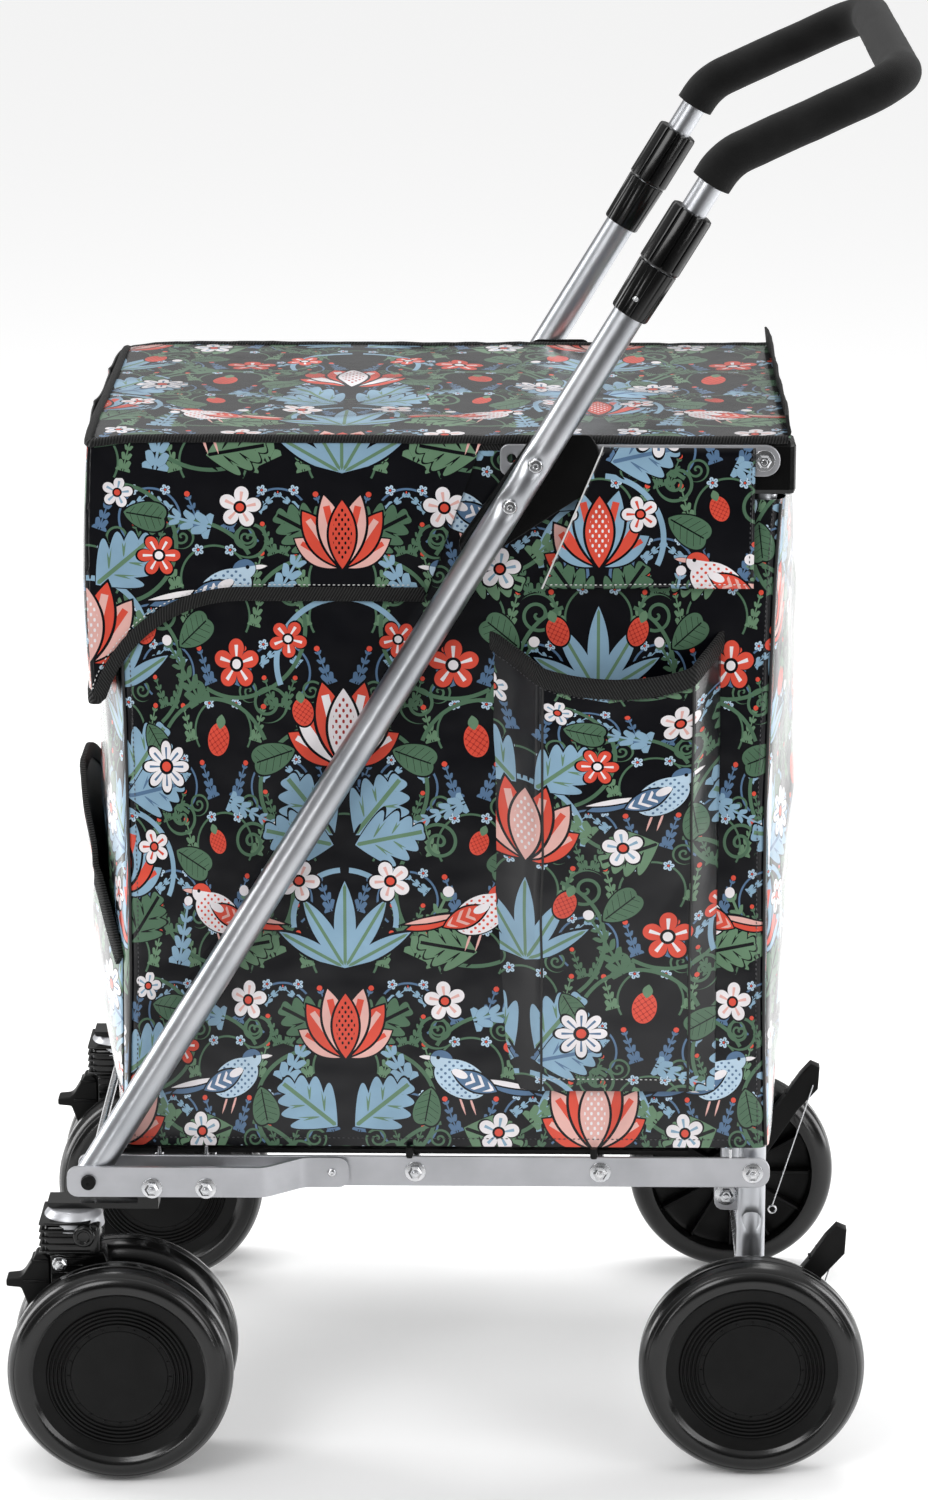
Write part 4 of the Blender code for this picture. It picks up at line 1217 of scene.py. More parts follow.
def build_handle():
    """Handle tubes with guide bolts, clamps and twist collars; the inner tube and its foam grip."""
    for label, side in SIDES:
        out = Vector((0, side, 0))
        length, start, dent = 0.800, -0.010, 0.0026
        dents = [(s - start, 0.0075, dent) for s in GUIDE_BOLTS]
        tube = pressed_tube(
            f"tube_{label}", on_tube(start, side), TUBE_DIR, length, TUBE_R, 0.0094, out, dents
        )
        settle(tube, "handle_frame", f"handle_tube_{label}")
        for number, station in enumerate(GUIDE_BOLTS, 1):
            foot = on_tube(station, side) + out * (TUBE_R - dent)
            where = frame_along(out, foot)
            head = lathe(
                "bolt_head",
                rounded(
                    [
                        (0.0, 0.0026), (0.0016, 0.0026), (0.0019, 0.0034), (0.0044, 0.0030), (0.0052, 0.0014),
                        (0.0054, 0.0), (0.0, 0.0),
                    ],
                    0.0005,
                ),
                32, where, ["zinc"],
            )
            shank = swept("bolt_shank", [foot, Vector((foot.x, side * 0.1760, foot.z))], 0.0024, ["zinc"], 16)
            settle(
                joined(f"guide_bolt_made_{label}_{number}", [head, shank]), "handle_frame",
                f"guide_bolt_{label}_{number}",
            )
        sleeve = TUBE_R + 0.0003
        clamp = ribbed_sleeve(f"clamp_{label}", CLAMP_AT, side, [
            (sleeve, 0.0372, False), (0.0138, 0.0372, False), (0.0144, 0.0366, True), (0.0136, 0.0012, True),
            (0.0130, 0.0, False), (sleeve, 0.0, False),
        ], 14, 0.0006)
        pin_out = (out * 0.93 - Vector((0.30, 0, 0.10))).normalized()
        pin_foot = on_tube(CLAMP_AT + 0.016, side) + pin_out * 0.0128
        pin = lathe("pin", rounded([(0.0, 0.0018), (0.0018, 0.0018), (0.0024, 0.0), (0.0, 0.0)], 0.0005), 24,
                    frame_along(pin_out, pin_foot), ["zinc"])
        settle(joined(f"clamp_pinned_{label}", [clamp, pin]), "handle_frame", f"lower_clamp_{label}")
        neck = TUBE_END - COLLAR_AT + 0.001
        bore = INNER_R + 0.0003
        collar = ribbed_sleeve(f"collar_{label}", COLLAR_AT, side, [
            (bore, 0.0440, False), (0.0128, 0.0440, False), (0.0146, 0.0432, True), (0.0151, 0.0415, True),
            (0.0151, 0.0022, True), (0.0151, 0.0012, False), (0.0144, 0.0, False), (sleeve, 0.0, False),
            (sleeve, neck, False), (bore, neck, False),
        ], 10, 0.0011)
        settle(collar, f"twist_lock_{label}", f"twist_collar_{label}")
    inner = swept("inner_tube", grip_path(0.635), INNER_R, ["tube"], 32)
    settle(inner, "telescopic_handle", "inner_handle_tube")
    path = grip_path(0.826)

    def grip_radius(t):
        end = min(t, 1 - t) * 1.05
        nip = max(1 - end / 0.0035, 0.0)
        return GRIP_R - 0.0035 * nip ** 2

    grip = swept("grip_foam", path, grip_radius, ["foam"], 40)
    for vert in grip.data.vertices:
        vert.co += vert.normal * 0.00035 * noise.noise(vert.co * 60)
    settle(grip, "telescopic_handle", "foam_grip")


# ---------------------------------------------------------------- rear legs, top straps, casters
def own_look(node, look, slotted=True):
    """Gives a kept CAD node a worked-out material."""
    obj = frame["nodes"][node]
    obj.data.materials.clear()
    obj.data.materials.append(MATERIALS[look])
    if slotted:
        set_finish(obj, SLOTS[look])


def block(name, low, high, look, bevel=0.001, segments=2):
    bm = bmesh.new()
    made = bmesh.ops.create_cube(bm, size=1.0)["verts"]
    low, high = Vector(low), Vector(high)
    bmesh.ops.scale(bm, vec=[abs(v) for v in high - low], verts=made)
    bmesh.ops.translate(bm, vec=(low + high) / 2, verts=made)
    bmesh.ops.bevel(bm, geom=list(bm.edges), offset=bevel, segments=segments, profile=0.5, affect="EDGES")
    return smooth(piece_from(bm, name, look), 40)


def plate(name, outline, low, high, look, bevel=0.0006, holes=()):
    """Finished slab, ready to be joined."""
    return meshed(slab(name, outline, low, high, look, bevel, holes))


def meshed(obj):
    """Curve object turned into a mesh object."""
    bpy.context.view_layer.update()
    mesh = bpy.data.meshes.new_from_object(obj.evaluated_get(bpy.context.evaluated_depsgraph_get()))
    made = bpy.data.objects.new(obj.name + "_flat", mesh)
    made.matrix_world = obj.matrix_world.copy()
    bpy.context.scene.collection.objects.link(made)
    made["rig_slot"] = obj["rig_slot"]
    bpy.data.objects.remove(obj, do_unlink=True)
    return made


POST_EYE_Z = 0.1754


def build_rear():
    """Rear posts with their ears, top straps, pedals, top pivot rod and rear axle."""
    for label, side in SIDES:
        low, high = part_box(f"rear_post_{label}")
        out = Vector((0, side, 0))
        centre = place_of(f"rear_post_{label}")
        foot = Vector((centre.x, centre.y, low.z))
        hole = POST_EYE_Z - low.z
        dents = [(hole, 0.0070, 0.0036)] + [(hole - 0.014 - 0.010 * k, 0.0085, 0.0013) for k in range(6)]
        post = pressed_tube(
            f"post_{label}", foot, Vector((0, 0, 1)), high.z - low.z, 0.010, 0.0084, out, dents
        )
        eye = lathe(
            "post_eye",
            [(0.0, 0.0004), (0.0019, 0.0004), (0.0024, 0.0010), (0.0028, 0.0006), (0.0028, 0.0), (0.0, 0.0)],
            24, frame_along(out, Vector((centre.x, side * (abs(centre.y) + 0.0062), POST_EYE_Z))),
            ["matte_black"],
        )
        inner_y = side * (abs(centre.y) - 0.0104)
        ear = plate(
            f"post_ear_{label}",
            round_loop(
                [
                    (centre.x - 0.026, 0.176), (centre.x + 0.004, 0.176), (centre.x + 0.004, 0.200),
                    (centre.x - 0.026, 0.200),
                ],
                0.008,
            ),
            min(inner_y, inner_y - side * 0.002), max(inner_y, inner_y - side * 0.002), "bar",
        )
        ear_bolt = hex_bolt("ear_bolt", Vector((centre.x - 0.0175, inner_y, 0.188)), out, 0.0048, 0.0080)
        settle(joined(f"post_made_{label}", [post, eye, ear, *ear_bolt]), "rear_frame", f"rear_post_{label}")
        own_look(f"top_corner_cap_{label}", "gloss_black")
        low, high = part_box(f"top_strap_{label}")
        strap = slab(
            f"strap_{label}",
            capsule(low.x, high.x, (low.z + high.z) / 2, (high.z - low.z) / 2, 0.006, 0.0105), low.y, high.y,
            "bar", holes=[arc(REAR_X - 0.172, TOP_PIVOT.z + 0.001, 0.0032, 0, 330, 15)],
        )
        settle(strap, "top_straps", f"top_strap_{label}")
        build_pedal(label, side)
    middle = place_of("top_pivot_rod")
    rod_with_heads("top_pivot_rod", "rear_frame", middle.x, middle.z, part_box("top_strap_right")[1].y)
    low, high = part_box("rear_axle")
    axle = swept(
        "axle", [Vector((REAR_X, y, (low.z + high.z) / 2)) for y in between(low.y, high.y, 4)], 0.004,
        ["zinc"], 32,
    )
    settle(axle, "rear_frame", "rear_axle")


def build_pedal(label, side):
    """Brake pedal: hub, arm and a ribbed tread, with its wire spring and ring."""
    low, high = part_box(f"brake_pedal_{label}")
    wheel_z = place_of(f"rear_wheel_{label}").z
    outline = arc(REAR_X, wheel_z, 0.0108, 130, 315, 16) + [
        (REAR_X + 0.050, wheel_z + 0.058), (REAR_X + 0.066, wheel_z + 0.076),
        (REAR_X + 0.067, wheel_z + 0.094), (REAR_X + 0.060, wheel_z + 0.097),
        (REAR_X + 0.052, wheel_z + 0.088), (REAR_X + 0.040, wheel_z + 0.070),
    ]
    arm = plate(
        f"pedal_{label}", outline, low.y, high.y, "matte_black", 0.0009,
        [arc(REAR_X, wheel_z, 0.0043, 0, 345, 23)],
    )
    parts = [arm]
    for k in range(4):
        x, z = REAR_X + 0.0415 + 0.0052 * k, wheel_z + 0.0722 + 0.0064 * k
        parts.append(
            swept(
                "tread", [Vector((x - 0.0004, low.y + 0.001, z)), Vector((x - 0.0004, high.y - 0.001, z))],
                0.0009, ["matte_black"], 8,
            )
        )
    wire_y = side * (min(abs(low.y), abs(high.y)) - 0.0012)
    top = Vector((REAR_X + 0.062, wire_y, wheel_z + 0.0800))
    ring = Vector((REAR_X + 0.0318, wire_y, wheel_z - 0.0200))
    parts.append(swept("wire", [top.lerp(ring, k / 6) for k in range(7)], 0.0006, ["zinc"], 8))
    turns = [turn_step(k, 20) for k in range(20)]
    loop = [ring + Vector((0.003 * c, 0, -0.003 + 0.003 * s)) for c, s in turns]
    parts.append(swept("ring", loop + loop[:1], 0.0008, ["zinc"], 8))
    settle(joined(f"pedal_made_{label}", parts), f"brake_pedal_{label}", f"brake_pedal_{label}")


def build_casters():
    """Strap guides, and caster heads: silver dome, black cup, ribbed housing, cap and stem."""
    for label, side in SIDES:
        own_look(f"caster_bracket_{label}", "gloss_black")
        low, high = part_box(f"strap_guide_{label}")
        guide = plate(
            f"guide_{label}",
            round_loop(
                [
                    (low.x + 0.004, low.z), (low.x + 0.026, low.z + 0.010), (high.x - 0.004, high.z - 0.040),
                    (high.x, high.z - 0.012), (high.x - 0.006, high.z - 0.0025),
                    (high.x - 0.045, high.z - 0.0025), (low.x, low.z + 0.018),
                ],
                0.0035,
            ),
            low.y, high.y, "gloss_black", 0.0005,
        )
        settle(guide, "handle_frame", f"strap_guide_{label}")
        low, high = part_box(f"caster_head_{label}")
        centre = (low + high) / 2
        head_top, head_low, cap_z = high.z, 0.1626, 0.1795
        y0, y1 = centre.y - 0.0212, centre.y + 0.0212
        cup = lathe(
            f"cup_{label}",
            rounded(
                [
                    (0.0, head_top), (0.0165, head_top), (0.0205, head_top - 0.005),
                    (0.0222, head_top - 0.014), (0.0200, head_top - 0.0145), (0.0200, head_low),
                    (0.0, head_low),
                ],
                0.0012,
            ),
            64, Matrix.Translation((centre.x - 0.0008, centre.y, 0)), ["bar", "gloss_black"],
            face_look=lambda r, h: 0 if h > head_top - 0.0142 and r < 0.0218 else 1,
        )
        housing = block(
            f"housing_{label}", (centre.x - 0.0200, y0, head_low), (centre.x + 0.0195, y1, head_top - 0.0075),
            "gloss_black", 0.004, 3,
        )
        parts = [cup, housing]
        for k in range(5):
            z = head_low + 0.0030 + 0.0052 * k
            parts.append(
                block(
                    f"rib_{label}", (centre.x - 0.0235, y0 - 0.0012, z),
                    (centre.x + 0.0130, y1 + 0.0012, z + 0.0020), "gloss_black", 0.0008, 2,
                )
            )
        cap_at = Vector((centre.x + 0.0085, side * (abs(centre.y) + 0.0190), cap_z))
        parts.append(
            lathe(
                f"cap_{label}",
                rounded(
                    [
                        (0.0, 0.0072), (0.0040, 0.0072), (0.0046, 0.0084), (0.0066, 0.0084), (0.0078, 0.0070),
                        (0.0078, -0.004), (0.0, -0.004),
                    ],
                    0.0008,
                ),
                40, frame_along((0, side, 0), cap_at), ["gloss_black"],
            )
        )
        stem = swept(
            f"stem_{label}",
            [Vector((centre.x, centre.y, head_low + 0.002)), Vector((centre.x, centre.y, low.z))], 0.006,
            ["zinc"], 32,
        )
        parts.append(stem)
        settle(joined(f"head_made_{label}", parts), "base_frame", f"caster_head_{label}")
        build_fork(label, side, centre)


def build_fork(label, side, swivel):
    """Caster fork with ribs and a hex bolt, its axle, and the direction-lock lever on it."""
    wheel = place_of(f"front_wheel_{label}_outer")
    low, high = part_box(f"caster_fork_{label}")
    front, rear, top = low.x, swivel.x + 0.021, high.z
    outline = [(front, top - 0.034), (front, top), (rear, top)] + arc(wheel.x, wheel.z, 0.016, 20, -160, 20)
    arm = plate(
        f"fork_{label}", outline, low.y, high.y, "gloss_black", 0.0009,
        [arc(wheel.x, wheel.z, 0.0043, 0, 345, 23)],
    )
    parts = [arm]
    for k in range(5):
        z = top - 0.0036 - 0.0056 * k
        parts.append(
            block(
                f"fork_rib_{label}", (front + 0.0004, low.y - 0.0007, z - 0.0018),
                (swivel.x + 0.006, high.y + 0.0007, z), "gloss_black", 0.0005, 1,
            )
        )
    parts += hex_bolt(
        f"fork_bolt_{label}",
        Vector((swivel.x - 0.0103, side * (max(abs(low.y), abs(high.y)) + 0.0005), 0.1535)), (0, side, 0),
        0.0046, 0.0054, 0.0026,
    )
    settle(joined(f"fork_made_{label}", parts), f"caster_{label}", f"caster_fork_{label}")
    low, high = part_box(f"front_axle_{label}")
    axle = swept(
        f"front_axle_made_{label}", [Vector((wheel.x, y, wheel.z)) for y in between(low.y, high.y, 4)], 0.004,
        ["zinc"], 32,
    )
    settle(axle, f"caster_{label}", f"front_axle_{label}")
    low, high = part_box(f"swivel_lock_lever_{label}")
    x, z = high.x + 0.0002, 0.150
    lever = plate(
        f"lever_{label}",
        round_loop(
            [
                (x - 0.0002, z - 0.030), (x - 0.0002, z + 0.006), (x - 0.004, z + 0.0095),
                (x - 0.010, z + 0.0095), (x - 0.013, z + 0.004), (x - 0.019, z - 0.006),
                (x - 0.022, z - 0.0085), (x - 0.0315, z - 0.0095), (x - 0.0315, z - 0.0150),
                (x - 0.021, z - 0.0160), (x - 0.016, z - 0.030),
            ],
            0.0016,
        ),
        low.y, high.y, "matte_black", 0.0010,
    )
    ridge = block(
        f"lever_ridge_{label}", (x - 0.019, low.y - 0.0010, z - 0.0118),
        (x - 0.002, high.y + 0.0010, z - 0.0100), "matte_black", 0.0005, 1,
    )
    brow = block(
        f"lever_brow_{label}", (x - 0.0135, low.y - 0.0010, z + 0.0035),
        (x - 0.001, high.y + 0.0010, z + 0.0055), "matte_black", 0.0006, 1,
    )
    settle(
        joined(f"lever_made_{label}", [lever, ridge, brow]), f"lock_lever_{label}",
        f"swivel_lock_lever_{label}",
    )


def build_small_parts():
    """Spacers and pins between the rails and the bag's floor."""
    parts = []
    rail_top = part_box("base_rail_right")[1].z
    bag_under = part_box("bag_body")[0].z
    rail_y, sunk = 0.1765, 0.001
    for _, side in SIDES:
        for x, look, radius in (
            (-0.2068, "zinc", 0.0012), (-0.1736, "zinc", 0.0012), (0.1976, "zinc", 0.0012),
            (-0.0296, "matte_black", 0.0026), (0.1009, "matte_black", 0.0026),
        ):
            foot = Vector((x, side * rail_y, rail_top - sunk))
            parts.append(swept("spacer", [foot, Vector((x, foot.y, bag_under + sunk))], radius, [look], 16))
    settle(joined("floor_spacers", parts), "base_frame")


# ---------------------------------------------------------------- cloth helpers
BAG_LOW, BAG_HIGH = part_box("bag_body")
LID_LOW, LID_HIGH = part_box("lid")
BAG_W = BAG_HIGH.y
PRINT_AXIS_X = REAR_X - 0.288


def ripple(point, scale, seed):
    """Smooth noise between -1 and 1 at a point."""
    return noise.noise(Vector((point.x, point.y, point.z)) * scale + Vector((seed, seed * 0.7, -seed)))


def pull_lines(point, seed):
    """Thin tension creases: sharp ridges of a stretched noise."""
    value = noise.noise(Vector((point.x * 9, point.y * 9, point.z * 4.5)) + Vector((seed, 3.1, seed)))
    return (1 - abs(value) * 2.2) ** 3 if abs(value) < 0.45 else 0.0


class Sheet:
    """Grid of points with print coordinates; wall, rim and lining are added when it is made."""

    def __init__(self):
        self.bm = bmesh.new()
        self.uv = self.bm.loops.layers.uv.new("print")

    def patch(self, columns, rows, place, print_at, flip=False):
        """Adds a grid; place(i, j) gives a point, print_at(i, j) its centimetres on the cloth."""
        grid = [[self.bm.verts.new(place(i, j)) for j in range(rows + 1)] for i in range(columns + 1)]
        for i in range(columns):
            for j in range(rows):
                corners = [(i, j), (i + 1, j), (i + 1, j + 1), (i, j + 1)]
                if flip:
                    corners.reverse()
                verts = [grid[a][b] for a, b in corners]
                if (verts[0].co - verts[2].co).length < 1e-6 or (verts[1].co - verts[3].co).length < 1e-6:
                    continue
                face = self.bm.faces.new(verts)
                face.smooth = True
                for loop, (a, b) in zip(face.loops, corners):
                    loop[self.uv].uv = print_at(a, b)
        return grid

    def make(self, name, wall):
        """Printed cloth with a lining behind it."""
        bmesh.ops.remove_doubles(self.bm, verts=self.bm.verts, dist=1e-5)
        loose = [v for v in self.bm.verts if not v.link_faces]
        bmesh.ops.delete(self.bm, geom=loose, context="VERTS")
        obj = piece_from(self.bm, name, "print", "lining")
        solid = obj.modifiers.new("wall", "SOLIDIFY")
        solid.thickness = wall
        solid.offset = -1
        solid.use_even_offset = False
        solid.material_offset = 1
        solid.material_offset_rim = 1
        return applied(obj)


def applied(obj):
    """Turns an object's modifiers into plain mesh."""
    bpy.context.view_layer.update()
    evaluated = obj.evaluated_get(bpy.context.evaluated_depsgraph_get())
    mesh = bpy.data.meshes.new_from_object(evaluated)
    obj.modifiers.clear()
    obj.data = mesh
    return obj


def band(name, path, outs, wide, thick, ups, wave=0.0):
    """Flat tape along a path: outs point away from the cloth, ups across the tape."""
    bm = bmesh.new()
    uv = bm.loops.layers.uv.new("print")
    rings, reach = [], 0.0
    along = []
    for k, point in enumerate(path):
        if k:
            reach += (point - path[k - 1]).length
        along.append(reach * 100)
        ahead = heading(path, k).normalized()
        out = outs[k] - ahead * outs[k].dot(ahead)
        out.normalize()
        up = ups[k]
        section = []
        for a, b in (
            (-0.5, -0.25), (-0.5, 0.25), (-0.47, 0.5), (-0.2, 0.62), (0.2, 0.62), (0.47, 0.5), (0.5, 0.25),
            (0.5, -0.25), (0.47, -0.5), (-0.47, -0.5),
        ):
            bend = wave * noise.noise(point * 60 + Vector((0, a * 2, 0)))
            section.append((point + up * (a * wide) + out * (b * thick + bend), a * wide * 100))
        rings.append([(bm.verts.new(co), v) for co, v in section])
    count = len(rings[0])
    for i in range(len(rings) - 1):
        for k in range(count):
            n = (k + 1) % count
            quad = ((i, k), (i, n), (i + 1, n), (i + 1, k))
            face = bm.faces.new([rings[a][b][0] for a, b in quad])
            face.smooth = True
            for loop, (a, b) in zip(face.loops, quad):
                loop[uv].uv = (along[a], rings[a][b][1])
    for ring, reverse in ((rings[0], False), (rings[-1], True)):
        verts = [v for v, _ in ring]
        bm.faces.new(verts[::-1] if reverse else verts)
    bmesh.ops.recalc_face_normals(bm, faces=bm.faces)
    return piece_from(bm, name, "tape")


def ups_of(path, outs):
    """Directions across a tape that lies along a path, all pointing upwards."""
    ups = []
    for k in range(len(path)):
        up = outs[k].cross(heading(path, k).normalized()).normalized()
        ups.append(up if up.z > 0 else -up)
    return ups


def beside(path, ups, outs, up, out):
    """The path shifted by up along its ups and by out along its outs."""
    return [p + u * up + o * out for p, u, o in zip(path, ups, outs)]


def stitches(name, path, outs, look="thread"):
    """Row of short thread stitches along a path."""
    gap, length, radius = 0.0034, 0.0021, 0.00042
    bm = bmesh.new()
    travel, next_at = 0.0, gap / 2
    for k in range(1, len(path)):
        step = path[k] - path[k - 1]
        while travel + step.length >= next_at:
            t = (next_at - travel) / max(step.length, 1e-9)
            spot = path[k - 1].lerp(path[k], t) + outs[k].normalized() * radius * 0.7
            made = bmesh.ops.create_icosphere(bm, subdivisions=1, radius=1.0)["verts"]
            turn = Vector((1, 0, 0)).rotation_difference(step.normalized()).to_matrix().to_4x4()
            fit = Matrix.Translation(spot) @ turn @ Matrix.Diagonal((length / 2, radius, radius, 1))
            bmesh.ops.transform(bm, matrix=fit, verts=made)
            next_at += gap
        travel += step.length
    for face in bm.faces:
        face.smooth = True
    return piece_from(bm, name, look)


def soft_piece(obj, body, *nodes):
    """Soft piece riding on a body and standing for its CAD nodes, with a mesh of its own."""
    settle(obj, body, *nodes)
    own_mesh(obj)
    return obj


def bell(t, power=1.0):
    """0 at both ends, 1 in the middle."""
    return max(math.sin(math.pi * min(max(t, 0.0), 1.0)), 0.0) ** power


# ---------------------------------------------------------------- bag
FRONT_BULGE, REAR_BULGE, SIDE_BULGE = 0.010, 0.011, 0.0016
FRONT_PULL, REAR_PULL, PULL_REACH = 0.019, 0.014, 0.11


def corner_pull(x, y, up):
    """Shift along X that draws the filled bag's upright corners in, between base and rim."""
    front = max(1 - (x - BAG_LOW.x) / PULL_REACH, 0.0)
    rear = max(1 - (BAG_HIGH.x - x) / PULL_REACH, 0.0)
    return (
        FRONT_PULL * front - REAR_PULL * rear
    ) * min(abs(y / BAG_W), 1.0) ** 2.2 * bell(0.15 + 0.85 * up, 0.5)


def bag_point(x, y, z, outward):
    """Point of the filled bag: bulged ends, gently rippled sides."""
    up = (z - BAG_LOW.z) / (BAG_HIGH.z - BAG_LOW.z)
    point = Vector((x, y, z))
    if abs(outward.x) > 0.3:
        across = max(1 - abs(y / BAG_W) ** 2.6, 0.0)
        bulge = FRONT_BULGE if outward.x < 0 else REAR_BULGE
        point.x += outward.x * bulge * bell(up, 0.75) * across ** 0.8
        fade = across ** 0.5
        point.x += outward.x * (
            0.0035 * ripple(point, 9, 2.0) + 0.0016 * ripple(point, 26, 5.0)
        ) * fade * bell(up, 0.4)
        point.x += outward.x * 0.0022 * pull_lines(point, 8.0 + outward.x) * fade * bell(up, 0.6)
    if abs(outward.y) > 0.3:
        along = (x - BAG_LOW.x) / (BAG_HIGH.x - BAG_LOW.x)
        fade = bell(along, 0.35) * bell(up, 0.35)
        lift = SIDE_BULGE * bell(up, 0.8) * bell(along, 0.8) + 0.0009 * ripple(
            point, 11, 7.0
        ) + 0.0005 * ripple(point, 30, 1.0)
        lift += 0.0007 * pull_lines(point, 4.0)
        lift = min(lift, 0.0) if z > 0.69 else lift
        point.y += outward.y * (lift - 0.0005) * fade
    point.x += corner_pull(x, y, up)
    sway = 0.0012 * ripple(point, 7, 11.0) * bell(up, 0.5)
    if abs(outward.x) > 0.3 and abs(outward.y) > 0.3:
        point += outward * sway
    return point


def bag_outline():
    """Plan of the bag: points and outward directions, from its front left corner round."""
    step, r = 0.006, 0.009
    x0, x1, w = BAG_LOW.x, BAG_HIGH.x, BAG_W
    corners = (((x0 + r, -w + r), 180), ((x1 - r, -w + r), 270), ((x1 - r, w - r), 0), ((x0 + r, w - r), 90))
    loop = []
    for k, ((cx, cy), start) in enumerate(corners):
        centre = Vector((cx, cy, 0))
        for a in range(5):
            angle = math.radians(start + 22.5 * a)
            out = Vector((math.cos(angle), math.sin(angle), 0))
            loop.append((centre + out * r, out))
        (nx, ny), _ = corners[(k + 1) % 4]
        out = Vector((math.cos(math.radians(start + 90)), math.sin(math.radians(start + 90)), 0))
        first, last = centre + out * r, Vector((nx, ny, 0)) + out * r
        count = round((last - first).length / step)
        for a in range(1, count):
            loop.append((first.lerp(last, a / count), out))
    return loop


def side_print(point, side):
    """Print position on a side panel, mirrored about the same axis on both sides."""
    return ((point.x - PRINT_AXIS_X) * 100 * -side, point.z * 100 + 5.0)


def end_print(point):
    """Print position on the front and rear panels, mirrored about the middle."""
    return (point.y * 100, point.z * 100 + 9.0)


def build_bag():
    """Bag shell with openings for the corner fittings and posts, its seams, stitches and rim tape."""
    loop = bag_outline()
    count = len(loop)
    rows = 84
    sheet = Sheet()

    def place(i, j):
        point, out = loop[i % count]
        return bag_point(point.x, point.y, lerp(BAG_LOW.z, BAG_HIGH.z, j / rows), out)

    def print_at(i, j):
        point, out = loop[i % count]
        spot = Vector((point.x, point.y, lerp(BAG_LOW.z, BAG_HIGH.z, j / rows)))
        if abs(out.y) > 0.70:
            return side_print(spot, 1 if out.y > 0 else -1)
        return end_print(spot)

    grid = sheet.patch(count, rows, place, print_at)
    base = sheet.bm.faces.new([grid[i][0] for i in range(count)][::-1])
    base.material_index = 1
    bag = sheet.make("filled_bag", 0.0016)
    cutter_bm = bmesh.new()
    cap_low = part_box("top_corner_cap_right")[0]
    for _, side in SIDES:
        centre = Vector(((cap_low.x + BAG_HIGH.x) / 2 + 0.010, side * (cap_low.y + 0.026), cap_low.z + 0.030))
        size = Vector((BAG_HIGH.x - cap_low.x + 0.025, 0.056, 0.066))
        made = bmesh.ops.create_cube(cutter_bm, size=1.0)["verts"]
        bmesh.ops.transform(
            cutter_bm, matrix=Matrix.Translation(centre) @ Matrix.Diagonal((*size, 1)), verts=made
        )
        made = bmesh.ops.create_cone(
            cutter_bm, cap_ends=True, segments=24, radius1=0.0112, radius2=0.0112, depth=0.02,
        )["verts"]
        post = place_of("rear_post_right")
        bmesh.ops.translate(cutter_bm, vec=(post.x, side * (post.y - 0.0005), BAG_LOW.z), verts=made)
    mesh = bpy.data.meshes.new("bag_openings")
    cutter_bm.to_mesh(mesh)
    cutter_bm.free()
    cutter = bpy.data.objects.new("bag_openings", mesh)
    bpy.context.scene.collection.objects.link(cutter)
    knife = bag.modifiers.new("openings", "BOOLEAN")
    knife.operation = "DIFFERENCE"
    knife.solver = "EXACT"
    knife.object = cutter
    applied(bag)
    bpy.data.objects.remove(cutter, do_unlink=True)
    parts = [bag]
    post_front = cap_low.x - 0.004
    for _, side in SIDES:
        for x, out_x in ((BAG_LOW.x + 0.0016, -1), (BAG_HIGH.x - 0.0016, 1)):
            top = BAG_HIGH.z - 0.003 if out_x < 0 else cap_low.z - 0.006
            out = Vector((out_x, side, 0)).normalized()
            path = [
                bag_point(x, side * (BAG_W - 0.0016), z, out) for z in between(BAG_LOW.z + 0.002, top, 60)
            ]
            parts.append(swept("corner_seam", path, 0.0011, ["lining"], 8))
            seam = [p - Vector((out_x * 0.0055, -side * 0.0014, 0)) for p in path]
            parts.append(stitches("corner_stitch", seam, [Vector((0, side, 0))] * 61, look="dark_thread"))
        face, rim_z = Vector((0, side, 0)), BAG_HIGH.z - 0.004
        rim = [
            Vector((x, side * (BAG_W - 0.0008), rim_z)) for x in between(BAG_LOW.x + 0.008, post_front, 40)
        ]
        parts.append(band("rim_tape", rim, [face] * 41, 0.008, 0.0021, ups=[Vector((0, 0, 1))] * 41))
        hem_x = between(BAG_LOW.x + 0.008, BAG_HIGH.x - 0.008, 60)
        hem = [bag_point(x, side * BAG_W, BAG_LOW.z + 0.006, face) for x in hem_x]
        parts.append(stitches("hem_stitch", hem, [face] * 61, look="dark_thread"))
    front_rim = [Vector((BAG_LOW.x + 0.0008, y, rim_z)) for y in between(-BAG_W + 0.008, BAG_W - 0.008, 30)]
    parts.append(
        band("front_rim", front_rim, [Vector((-1, 0, 0))] * 31, 0.008, 0.0021, ups=[Vector((0, 0, 1))] * 31)
    )
    soft_piece(joined("filled_bag_sewn", parts), "base_frame", "bag_body")


# ---------------------------------------------------------------- lid
HEM_FRONT_Z = LID_LOW.z
HEM_SIDE_Z = 0.630
HEM_BEND_R = 0.100
SKIRT_REAR_LOW, SKIRT_REAR_HIGH = -0.0185, 0.0215


def hem_height(x):
    """Height of the side skirt's lower edge: low in front, a quarter bend, then level."""
    bend_x = LID_LOW.x + 0.104
    if x < bend_x:
        reach = min((bend_x - x) / HEM_BEND_R, 0.999)
        return max(HEM_SIDE_Z - HEM_BEND_R + HEM_BEND_R * math.sqrt(1 - reach * reach), HEM_FRONT_Z)
    if x > SKIRT_REAR_LOW:
        t = (x - SKIRT_REAR_LOW) / (SKIRT_REAR_HIGH - SKIRT_REAR_LOW)
        return lerp(HEM_SIDE_Z, LID_HIGH.z - 0.004, t)
    return HEM_SIDE_Z


